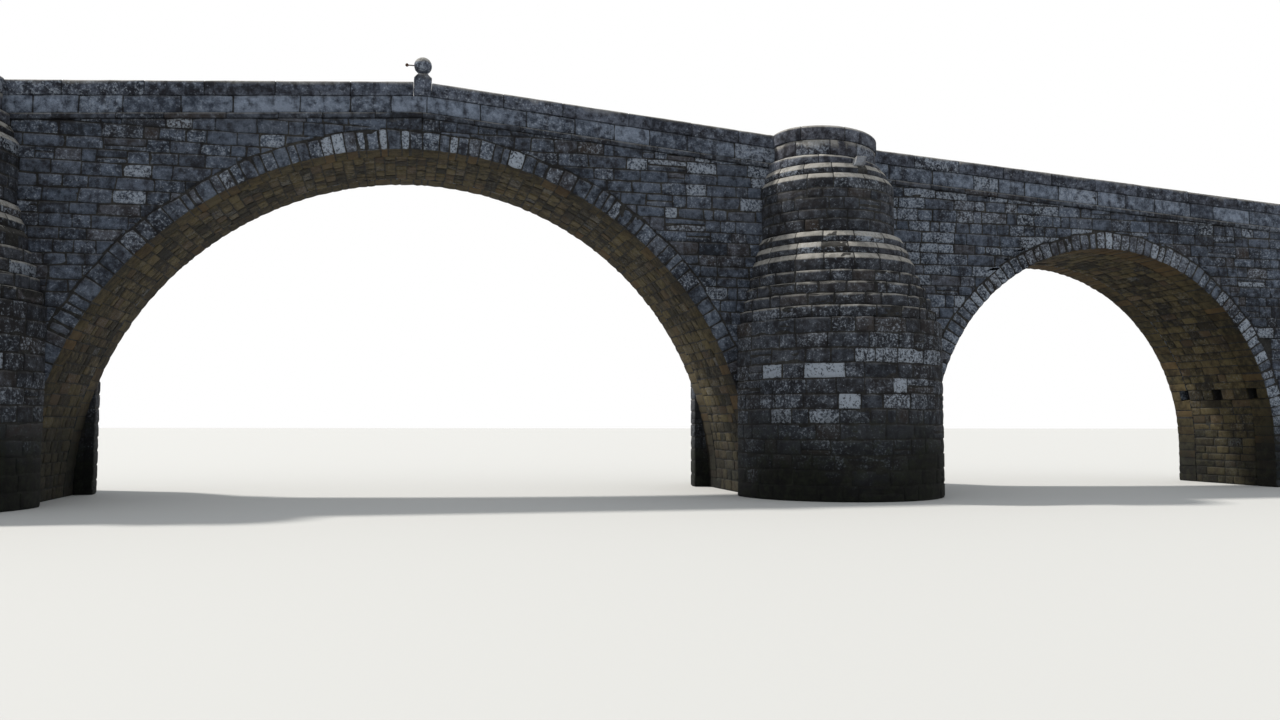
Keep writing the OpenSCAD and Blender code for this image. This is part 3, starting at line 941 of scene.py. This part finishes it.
def lay_blocks(block, joints, surface, rng, finish=None, proud=0.004, settle=0.0, drop=None, dents=0.0018):
    """Copies a dressed block between the joints of a course, each with its own length and set."""
    shape, faces, worn = block
    along, across, height = shape.T
    count = len(joints) - 1

    # the worn ends keep their length, and what lies between them is stretched
    lengths = (np.diff(joints) - 2 * BLOCK_GAP)[:, None]
    share = np.clip((along - worn) / (1.0 - 2 * worn), 0.0, 1.0)
    ends = np.where(along < worn, along - worn, np.where(along > 1 - worn, along - 1 + worn, 0))
    run = joints[:-1, None] + BLOCK_GAP + worn + share * (lengths - 2 * worn) + ends

    # dents, stones set back a little, stones settled a little: always inward
    rough = np.abs(rng.normal(0.0, dents, (count, len(shape), 2)))
    inner = across < (across.min() + across.max()) / 2
    out = across - np.where(inner, -1, 1) * (rough[..., 0] + rng.uniform(0.0, proud, (count, 1)))
    low = height < (height.min() + height.max()) / 2
    settled = rng.uniform(0.0, 1.0, (count, 1)) * settle
    up = height - np.where(low, -1, 1) * rough[..., 1] - np.where(low, 0.0, settled)
    if drop is not None:
        up = np.where(low, up, up - drop[:, None])
    places = surface(run, out, up).reshape(-1, 3)
    copies = [tuple(v + i * len(shape) for v in face) for i in range(count) for face in faces]
    finish = finish_of(count, rng) if finish is None else finish
    # the block ends take the dark joint colour: dirt and painted shade between the blocks
    marks = np.where((along < 1e-4) | (along > 1 - 1e-4), 1.0, 0.0)
    return Part(places, copies, np.repeat(finish, len(faces), axis=0), np.tile(marks, count), 1)


def round_course(side, x, radius):
    """Bends a course of blocks round a shaft; their lengths are measured at the given radius."""
    def place(run, out, up):
        turn = run / radius
        return np.stack((x + side * out * np.sin(turn), side * (HALF_W + out * np.cos(turn)), up), axis=-1)
    return place


ledge_top = PIER_H + LEDGE_N * LEDGE_H
ledge_top_r = CUTWATER_R - LEDGE_N * LEDGE_IN
ledge_top_x = CUTWATER_X - LEDGE_N * LEDGE_SHIFT
tiers = [(ledge_top_x, ledge_top_r, ledge_top - LEDGE_H, LEDGE_H)]
while len(tiers) < TIER_N:
    x, radius, low, face = tiers[-1]
    tiers.append((x - LEDGE_SHIFT, radius - TIER_IN - TIER_SET, low + face + TIER_SLOPE, TIER_FACE))
cap_tiers = [
    (x, radius, sloped_block(radius, low, low + face + TIER_SLOPE, face, TIER_IN))
    for x, radius, low, face in tiers
]

for side, sign, quarter in QUARTERS:
    rng = np.random.default_rng(70 + 2 * side + sign)
    parts = [mortar_core("stepped_cap_" + quarter)]
    for ledge in range(1, LEDGE_N):
        radius = CUTWATER_R - ledge * LEDGE_IN
        beds = PIER_H + LEDGE_H * np.array([ledge - 1, ledge])
        reach = HALF_TURN * radius
        outlines = coursed(-reach, reach, beds, CUTWATER_STONE_L, rng)[0]
        surface = on_drum(side, sign * (CUTWATER_X - ledge * LEDGE_SHIFT), radius)
        parts.append(lay_stones(outlines, surface, rng, depth=BOND, joint=0.0025, proud=0.014))
    for x, radius, block in cap_tiers:
        joints = levels(-HALF_TURN * radius, HALF_TURN * radius, TIER_BLOCK_L, rng)
        surface = round_course(side, sign * x, radius)
        parts.append(lay_blocks(block, joints, surface, rng, proud=0.01, settle=0.006))
    cap = build(f"stepped_cap_{quarter}_masonry", parts, (mortar, cap_granite))
    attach(cap, "root")
    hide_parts("stepped_cap_" + quarter)

# Refuge drums
# A plain shaft rises from each cap to the foot of the refuge, under two more weathered ledges.
# On the right one a block, painted pale for sunlight on it and with some lichen, has slipped out of its
# course, and a piece of ledge beside it is gone.
SHAFT_R = 0.937
SHAFT_FOOT = 3.472
SHAFT_COURSE = 0.15
SHAFT_STONE_L = 0.34
SHAFT_BOND = 0.1
SHAFT_TONES = (0.55, 0.4, 1.0)
UPPER_H = 4.181
UPPER_FOOT = 0.14
UPPER_SLOPE = 0.072
UPPER_FACE = 0.075
UPPER_IN = 0.049
BLOCK_TURNS = (3.0, 13.5)
BLOCK_H = 0.13
BLOCK_SUNK = 0.055
BLOCK_IN = 0.11
BLOCK_OUT = 0.024
BLOCK_TWIST = 0.3
BLOCK_TIP = 0.1
HOLLOW_TURNS = (-17.0, -7.5)
DENT_SCALE = 14.0
# pale colours and strong paling of the upper sides: painted sunlight on the block, with some lichen
fallen_granite_painted_lit = granite("fallen_granite_painted_lit", (58, 60, 65), (122, 124, 129), lichen=0.5, bleach_and_sunlight=0.8, crust=0.3)
upper_x, upper_r = SHAFT_X - LEDGE_SHIFT, SHAFT_R - UPPER_IN - TIER_SET
upper_low = UPPER_H + UPPER_SLOPE
upper_high = upper_low + UPPER_FACE + UPPER_SLOPE
upper_tiers = (
    (SHAFT_X, SHAFT_R, sloped_block(SHAFT_R, UPPER_H - UPPER_FOOT, upper_low, UPPER_FOOT, UPPER_IN)),
    (upper_x, upper_r, sloped_block(upper_r, upper_low, upper_high, UPPER_FACE, UPPER_IN)),
)


def box_section(inner, outer, low, high):
    """A square-edged section of (out, up) points."""
    return [(inner, low), (outer, low), (outer, high), (inner, high)]


def worn_part(made, finish, dents, seed, cuts=2, kind=0):
    """Takes a modelled block for one piece: its edges are worn and its faces dented, always inward."""
    bpy.ops.object.mode_set(mode="EDIT")
    bpy.ops.mesh.select_all(action="SELECT")
    bpy.ops.mesh.normals_make_consistent(inside=False)
    if cuts:
        bpy.ops.mesh.subdivide(number_cuts=cuts)
    bpy.ops.object.mode_set(mode="OBJECT")
    outward = np.array([vertex.normal for vertex in made.data.vertices])
    places, faces = lifted_off(made)
    dent = [noise.fractal(Vector(p) * DENT_SCALE + Vector((seed, 0, 0)), 1.0, 2.0, 3) for p in places]
    places = places - outward * (dents * np.clip(0.5 + np.array(dent), 0.0, 1.2))[:, None]
    return one_finish(*in_order(places, faces), finish, kind)


def fallen_block():
    """A squared block, painted pale for sunlight on it and with some lichen, that has slipped out of its
    course and stands on the second ledge.
    """
    start, end = (math.radians(turn) for turn in BLOCK_TURNS)
    foot, inner = upper_high - BLOCK_SUNK, upper_r - BLOCK_IN
    section = box_section(inner, upper_r + BLOCK_OUT, foot, foot + BLOCK_H)
    made = drawn_out([(0.0, out, up) for out, up in section], (end - start, 0.0, 0.0))
    bpy.ops.mesh.bevel(offset=0.012, segments=2, affect="EDGES")
    bpy.ops.object.mode_set(mode="OBJECT")
    for vertex in made.data.vertices:
        turn, out, up = vertex.co
        turn = start + turn + BLOCK_TWIST * (up - foot)
        up += BLOCK_TIP * (out - inner)
        vertex.co = (upper_x + out * math.sin(turn), -HALF_W - out * math.cos(turn), up)
    # a high tone, so the block is painted pale as if sunlit
    return worn_part(made, (0.95, 0.5, 0.0), 0.008, 5.0, kind=3)


for side, sign, quarter in QUARTERS:
    rng = np.random.default_rng(80 + 2 * side + sign)
    parts = [mortar_core("refuge_drum_" + quarter)]
    reach = HALF_TURN * SHAFT_R
    beds = levels(SHAFT_FOOT, UPPER_H - UPPER_FOOT, SHAFT_COURSE, rng)
    outlines = coursed(-reach, reach, beds, SHAFT_STONE_L, rng, thin=0.05)[0]
    finish = finish_of(len(outlines), rng, pale=0.0) * SHAFT_TONES
    surface = on_drum(side, sign * SHAFT_X, SHAFT_R)
    parts.append(lay_stones(outlines, surface, rng, finish=finish, depth=SHAFT_BOND)._replace(kind=2))
    for x, radius, block in upper_tiers:
        spans = [(-HALF_TURN * radius, HALF_TURN * radius)]
        if quarter == "front_right" and radius == upper_r:
            hollow = [math.radians(turn) * radius for turn in HOLLOW_TURNS]
            spans = [(spans[0][0], hollow[0]), (hollow[1], spans[0][1])]
        surface = round_course(side, sign * x, radius)
        for start, end in spans:
            joints = levels(start, end, TIER_BLOCK_L, rng)
            parts.append(lay_blocks(block, joints, surface, rng, proud=0.008, settle=0.005))
    if quarter == "front_right":
        parts.append(fallen_block())
    finishes = (mortar, cap_granite, cutwater_granite, fallen_granite_painted_lit)
    drum = build(f"refuge_drum_{quarter}_masonry", parts, finishes)
    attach(drum, "root")
    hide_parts("refuge_drum_" + quarter)

# Roadway
# The road is paved with worn flat slabs from parapet to parapet, and on into the round refuges.
# The slabs are bedded on the fill over the arches.
PARAPET_T = 0.175
KERB_H = 0.03
REFUGE_HOLE_R = 0.572
SLAB_ROW = 0.235
ROAD_SLAB_L = 0.42
REFUGE_SLAB_L = 0.36
LEAST_SLAB = 0.004
paving_granite = granite("paving_granite", (58, 56, 53), (120, 117, 110), lichen=0.3, bleach_and_sunlight=0.3, crust=0.15)


def on_road(u, v, d):
    """Lays outlines of x and place across the bridge on the road surface."""
    return np.stack((u, v, parapet_top(u) - PARAPET_H - KERB_H + d), axis=-1)


def round_refuge(outline, x, side):
    """Trims a paving slab to the inside of a refuge."""
    away = outline.mean(0) - (x, side * HALF_W)
    far = np.linalg.norm(away)
    if far < 0.25:
        return outline
    normal = -away / far
    return trimmed(outline, normal, normal @ (x, side * HALF_W) - REFUGE_HOLE_R)


rng = np.random.default_rng(90)
road_half = HALF_W - PARAPET_T
slabs = coursed(-HALF_L, HALF_L, levels(-road_half, road_half, SLAB_ROW, rng), ROAD_SLAB_L, rng)[0]
for side in (FRONT, BACK):
    for x in (-REFUGE_X, REFUGE_X):
        beds = np.sort(side * levels(road_half, HALF_W + REFUGE_HOLE_R, SLAB_ROW, rng))
        for outline in coursed(x - REFUGE_HOLE_R, x + REFUGE_HOLE_R, beds, REFUGE_SLAB_L, rng)[0]:
            if side * outline[:, 1].mean() > HALF_W:
                outline = round_refuge(outline, x, side)
            if big_enough(outline, LEAST_SLAB):
                slabs.append(eight_points(outline))
parts = [mortar_core("roadway", 0.01), lay_stones(slabs, on_road, rng, depth=0.04, worn=0.01, proud=0.007)]
road = build("roadway_masonry", parts, (mortar, paving_granite))
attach(road, "root")
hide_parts("roadway")

# String courses
# A thin course of long stones runs under each parapet and stands out a little from the wall.
# Its beds follow the road over the hump.
STRING_LIP = 0.022
STRING_STONE_L = 0.6
string_granite = granite("string_granite", (26, 29, 35), (76, 83, 95), lichen=0.7, crust=0.8, bleach_and_sunlight=0.3)


def along_face(side):
    """Lays a straight course along one face, following the slope of the road."""
    return lambda run, out, up: np.stack((side * run, side * out, parapet_top(run) + up), axis=-1)


def stretches(margin):
    """Stretches of one face between its road ends and refuges."""
    near, far = REFUGE_X - margin, REFUGE_X + margin
    return ((-HALF_L, -far), (-near, near), (far, HALF_L))


string_section = box_section(HALF_W - PARAPET_T, HALF_W + STRING_LIP, -PARAPET_H - STRING_H, -PARAPET_H)
string_block = moulded_block(string_section, worn=0.007)

for side, word in FACES:
    rng = np.random.default_rng(100 + side)
    parts = [mortar_core("string_course_" + word, 0.01)]
    for start, end in stretches(REFUGE_HOLE_R):
        joints = levels(start, end, STRING_STONE_L, rng)
        if start < 0.0 < end:
            joints[np.argmin(np.abs(joints))] = 0.0
        parts.append(lay_blocks(string_block, joints, along_face(side), rng, proud=0.006))
    string = build(f"string_course_{word}_masonry", parts, (mortar, string_granite))
    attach(string, "root")
    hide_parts("string_course_" + word)

# Parapets
# Upright slabs stand on the string course along both sides. Their joints are narrow,
# and the slabs are the palest stones of the faces.
SLAB_H = 0.22
SLAB_L = 0.58
slab_granite = granite(
    "slab_granite", (44, 50, 61), (118, 128, 144), ochre=0.15, lichen=0.9, crust=0.6, varied=0.35,
)


def on_slab_face(side, inner):
    """Lays outlines on the outer or inner side of the slabs; heights count from the slab's foot."""
    def place(u, v, d):
        x = side * u if inner else -side * u
        y = side * (HALF_W - PARAPET_T - d) if inner else side * (HALF_W + d)
        return np.stack((x, y, parapet_top(u) - PARAPET_H + v), axis=-1)
    return place


for side, word in FACES:
    for (start, end), part_name in zip(stretches(REFUGE_HOLE_R), ("left", "middle", "right")):
        rng = np.random.default_rng(110 + 3 * side + len(part_name))
        count = round((end - start) / SLAB_L)
        cuts = uneven(start, end, count, (0.75, 1.35), rng)
        finish = finish_of(count, rng, pale=0.12, warm=0.06)
        node = f"parapet_{word}_{part_name}"
        parts = [mortar_core(node)]
        for inner in (False, True):
            turn = side if inner else -side
            spans = [sorted((turn * low, turn * high)) for low, high in pairwise(cuts)]
            outlines = [squared(low, high, 0.0, SLAB_H) for low, high in spans]
            parts.append(lay_stones(
                outlines, on_slab_face(side, inner), rng, finish=finish, depth=PARAPET_T / 2, worn=0.008,
                proud=0.006,
            ))
        parapet = build(node + "_masonry", parts, (mortar, slab_granite))
        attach(parapet, "root")
        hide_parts(node)

# Copings
# Heavy coping stones with sloped upper edges lie on the slabs, and their upper sides are painted pale,
# partly sun-bleached stone and partly painted sunlight. Toward the right end of the front they lie a little
# lower.
COPING_H = 0.19
COPING_LIP = 0.012
COPING_SLOPE = 0.03
COPING_STONE_L = 0.8
COPING_STEP_X = 11.7
COPING_STEP = 0.016
FINIAL_HALF = 0.113
coping_granite = granite("coping_granite", (29, 32, 40), (92, 99, 113), ochre=0.2, lichen=1.1, bleach_and_sunlight=0.75)
outer, inner = HALF_W + COPING_LIP, HALF_W - PARAPET_T - COPING_LIP
coping_section = [
    (inner, -COPING_H), (outer, -COPING_H), (outer, -COPING_SLOPE / 2), (outer - COPING_SLOPE, 0.0),
    (inner + COPING_SLOPE, 0.0), (inner, -COPING_SLOPE / 2),
]
coping_block = moulded_block(coping_section, cuts=6, worn=0.008)

for side, word in FACES:
    rng = np.random.default_rng(120 + side)
    parts = [mortar_core("coping_" + word, 0.014)]
    gap = FINIAL_HALF if side == FRONT else 0.0
    left, middle, right = stretches(REFUGE_HOLE_R)
    for stretch in (left, (middle[0], -gap), (gap, middle[1]), right):
        start, end = sorted(side * place for place in stretch)
        joints = levels(start, end, COPING_STONE_L, rng)
        middles = side * (joints[:-1] + joints[1:]) / 2
        drop = np.where((middles > COPING_STEP_X) & (side == FRONT), COPING_STEP, 0.0)
        finish = finish_of(len(middles), rng, pale=0.05, warm=0.08)
        parts.append(lay_blocks(
            coping_block, joints, along_face(side), rng, finish=finish, settle=0.003, drop=drop,
            dents=0.0025,
        ))
    coping = build(f"coping_{word}_masonry", parts, (mortar, coping_granite))
    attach(coping, "root")
    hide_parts("coping_" + word)

# Refuge walls
# Each refuge has a round parapet on a sloped foot: a lower course, and an upper course that
# stands out a little and is rounded off at the top.
FLOOR_H = 4.459
REFUGE_R = 0.722
REFUGE_LIP = 0.016
REFUGE_ROUND = 0.03
REFUGE_LEAN = math.tan(math.radians(3.83))
foot_low = upper_high
foot_r = upper_r - UPPER_IN - TIER_SET
foot_high = FLOOR_H + 0.016
foot_top = foot_high + 0.0425
course_top = foot_high + 0.245
refuge_top = foot_high + 0.445
lip_r = REFUGE_R + REFUGE_LIP
foot_section = [
    (REFUGE_HOLE_R, foot_low), (foot_r, foot_low), (foot_r, foot_high), (REFUGE_R, foot_top),
    (REFUGE_HOLE_R, foot_top),
]
lip_section = [
    (REFUGE_HOLE_R, course_top), (lip_r, course_top), (lip_r, refuge_top - REFUGE_ROUND),
    (lip_r - REFUGE_ROUND, refuge_top), (REFUGE_HOLE_R, refuge_top),
]
refuge_courses = (
    (foot_r, 0.4, moulded_block(foot_section, cuts=3)),
    (REFUGE_R, 0.46, moulded_block(box_section(REFUGE_HOLE_R, REFUGE_R, foot_top, course_top), cuts=4)),
    (lip_r, 0.6, moulded_block(lip_section, cuts=5, worn=0.01)),
)
refuge_granite = granite(
    "refuge_granite", (33, 35, 43), (92, 96, 107), ochre=0.15, lichen=0.8, bleach_and_sunlight=0.7, crust=0.7,
)


def leaning_course(side, sign, radius):
    """Bends a course of blocks round the refuge; above its foot the beds fall with the road."""
    level = round_course(side, sign * REFUGE_X, radius)

    def place(run, out, up):
        spot = level(run, out, up)
        share = np.clip((up - foot_low) / (FLOOR_H - foot_low), 0.0, 1.0)
        spot[..., 2] -= share * REFUGE_LEAN * sign * (spot[..., 0] - sign * REFUGE_X)
        return spot
    return place


for side, sign, quarter in QUARTERS:
    rng = np.random.default_rng(130 + 2 * side + sign)
    parts = [mortar_core("refuge_wall_" + quarter)]
    for radius, length, block in refuge_courses:
        joints = levels(-HALF_TURN * radius, HALF_TURN * radius, length, rng)
        surface = leaning_course(side, sign, radius)
        parts.append(lay_blocks(block, joints, surface, rng, proud=0.005, settle=0.004))
    refuge = build(f"refuge_wall_{quarter}_masonry", parts, (mortar, refuge_granite))
    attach(refuge, "root")
    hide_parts("refuge_wall_" + quarter)

# Finial
# At the top of the hump a block with sloped shoulders is built into the front coping. It carries
# a granite ball on a short neck, and a rusty iron pin with a knob is let into the ball.
SHOULDER_H = 0.052
NECK_R = 0.062
NECK_ROUND = 0.004
BALL_R = 0.113
BALL_H = 0.22
PIN_R = 0.008
PIN_L = 0.088
PIN_LET_IN = 0.004
KNOB_R = 0.022
IRON_DARK = (34, 30, 28)
IRON_RUST = (92, 56, 36)
finial_y = -HALF_W + PARAPET_T / 2
ball_z = APEX + BALL_H
neck_foot = ball_z - BALL_R - (FINIAL_HALF - NECK_R) / 4
block_end = float(parapet_top(FINIAL_HALF))


def turned(profile, steps):
    """Turns a profile of (radius, height) points on a lathe, closed at both ends."""
    made = drawn([(out, 0.0, up) for out, up in profile], "NOTHING")
    body = bmesh.from_edit_mesh(made.data)
    closing = [e for e in body.edges if {v.index for v in e.verts} == {0, len(profile) - 1}]
    bmesh.ops.delete(body, geom=closing, context="EDGES")
    bmesh.update_edit_mesh(made.data)
    bpy.ops.mesh.select_all(action="SELECT")
    bpy.ops.mesh.spin(steps=steps, angle=2 * math.pi, center=(0, 0, 0), axis=(0, 0, 1))
    bpy.ops.mesh.select_all(action="SELECT")
    bpy.ops.mesh.remove_doubles(threshold=0.00005)
    bpy.ops.object.mode_set(mode="OBJECT")
    return made


def round_end(radius, middle, start, count):
    """Profile points of a ball, from an angle to its top."""
    turns = np.linspace(start, 0.0, count)[:-1]
    return [(radius * math.sin(t), middle + radius * math.cos(t)) for t in turns] + [(0.0, middle + radius)]


shoulders = [
    (-FINIAL_HALF, block_end - COPING_H), (0.0, APEX - COPING_H), (FINIAL_HALF, block_end - COPING_H),
    (FINIAL_HALF, block_end + SHOULDER_H), (NECK_R, neck_foot), (-NECK_R, neck_foot),
    (-FINIAL_HALF, block_end + SHOULDER_H),
]
block_y = -HALF_W - COPING_LIP
made = drawn_out([(x, block_y, z) for x, z in shoulders], (0.0, PARAPET_T + 2 * COPING_LIP, 0.0))
bpy.ops.mesh.bevel(offset=0.009, segments=2, affect="EDGES")
bpy.ops.object.mode_set(mode="OBJECT")
block = build("finial_block_stone", [worn_part(made, (0.3, 0.2, 0.1), 0.005, 1.0, cuts=3)], (coping_granite,))
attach(block, "root")
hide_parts("finial_block")

neck_turn = math.asin((NECK_R + NECK_ROUND) / BALL_R)
profile = [(0.0, neck_foot), (NECK_R - NECK_ROUND, neck_foot), (NECK_R, neck_foot + NECK_ROUND)]
made = turned(profile + round_end(BALL_R, ball_z, math.pi - neck_turn, 22), 48)
for vertex in made.data.vertices:
    vertex.co.y += finial_y
ball = build("finial_ball_stone", [worn_part(made, (0.45, 0.35, 0.1), 0.004, 2.0, cuts=1)], (coping_granite,))
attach(ball, "root")
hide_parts("finial_ball")

rusty_iron, rust = new_material("rusty_iron")
place = wire(rust, "ShaderNodeTexCoord").outputs["Object"]
scale = wire(rust, "ShaderNodeTexNoise", {"Vector": place, "Scale": 90.0, "Detail": 4.0}).outputs["Fac"]
colour = blend(rust, between(rust, scale, 0.35, 0.65), tint(*IRON_DARK), tint(*IRON_RUST))
bump = wire(rust, "ShaderNodeBump", {"Strength": 0.6, "Distance": 0.001, "Height": scale}).outputs[0]
finish = {"Base Color": colour, "Normal": bump, "Roughness": 0.75, "Metallic": 0.35}
iron = wire(rust, "ShaderNodeBsdfPrincipled", finish)
wire(rust, "ShaderNodeOutputMaterial", {0: iron.outputs[0]})

profile = [(0.0, BALL_R - PIN_LET_IN), (PIN_R, BALL_R - PIN_LET_IN)]
profile += [(PIN_R, BALL_R + PIN_L * ring / 6) for ring in range(1, 5)]
profile += round_end(KNOB_R, BALL_R + PIN_L, math.pi - math.asin(PIN_R / KNOB_R), 12)
made = turned(profile, 20)
for vertex in made.data.vertices:
    out, across, up = vertex.co
    vertex.co = (-up, finial_y + across, ball_z + out)
pin = build("finial_pin_iron", [worn_part(made, (0.5, 0.0, 0.0), 0.0006, 3.0, cuts=0)], (rusty_iron,))
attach(pin, "root")
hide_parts("finial_pin")

# Light, floor and camera
# A pale floor under a soft sky light, with one broad lamp high behind the left end, so that the front
# lies in open shade and its sloped ledges catch the light.
FLOOR_COLOUR = (178, 178, 176)
SKY_TINT = (0.91, 0.955, 1.0, 1.0)
SKY_STRENGTH = 0.84
LAMP_WARMTH = (1.0, 0.96, 0.9)
LAMP_STRENGTH = 4.4
LAMP_WIDTH = math.radians(4)
LAMP_AIM = (0.573, -0.294, -0.765)
FOCAL_PX = 1000
PHOTO_WIDE_PX = 1280
SENSOR_W = 36.0
EYE = (-0.2195, -13.8003, 0.960)
EYE_TURN = math.radians(-13.494)
EYE_PITCH = math.radians(90 + 3.653)
EYE_ROLL = math.radians(0.099)
bpy.ops.object.select_all(action="DESELECT")
bpy.ops.mesh.primitive_plane_add(size=400.0, location=(0.0, 0.0, -0.002))
floor = bpy.context.active_object
floor.name = "floor"
floor_paint = bpy.data.materials.new("floor_paint")
floor_paint.use_nodes = True
paint = floor_paint.node_tree.nodes["Principled BSDF"].inputs
paint["Base Color"].default_value = tint(*FLOOR_COLOUR)
paint["Roughness"].default_value = 0.9
floor.data.materials.append(floor_paint)

world = bpy.data.worlds.new("studio")
bpy.context.scene.world = world
world.use_nodes = True
sky = world.node_tree
sky.nodes.clear()
rays = wire(sky, "ShaderNodeLightPath").outputs
soft = wire(sky, "ShaderNodeBackground", {0: SKY_TINT, 1: SKY_STRENGTH}).outputs[0]
white = wire(sky, "ShaderNodeBackground", {0: (1.0, 1.0, 1.0, 1.0), 1: 1.0}).outputs[0]
seen = rays["Is Camera Ray"]
for ray in ("Is Glossy Ray", "Is Transmission Ray"):
    seen = wire(sky, "ShaderNodeMath", {0: seen, 1: rays[ray]}, operation="MAXIMUM").outputs[0]
both = wire(sky, "ShaderNodeMixShader", {0: seen, 1: soft, 2: white})
wire(sky, "ShaderNodeOutputWorld", {0: both.outputs[0]})

lamp_data = bpy.data.lights.new("lamp", "SUN")
lamp_data.energy = LAMP_STRENGTH
lamp_data.angle = LAMP_WIDTH
lamp_data.color = LAMP_WARMTH
lamp = bpy.data.objects.new("lamp", lamp_data)
bpy.context.scene.collection.objects.link(lamp)
lamp.rotation_euler = Vector(LAMP_AIM).to_track_quat("-Z", "Y").to_euler()

camera_data = bpy.data.cameras.new("camera")
camera_data.sensor_width = SENSOR_W
camera_data.lens = SENSOR_W * FOCAL_PX / PHOTO_WIDE_PX
camera = bpy.data.objects.new("camera", camera_data)
bpy.context.scene.collection.objects.link(camera)
camera.matrix_world = (
    Matrix.Translation(EYE)
    @ Matrix.Rotation(EYE_TURN, 4, "Z")
    @ Matrix.Rotation(EYE_PITCH, 4, "X")
    @ Matrix.Rotation(EYE_ROLL, 4, "Z")
)
bpy.context.scene.camera = camera
bpy.context.scene.view_settings.view_transform = "Standard"
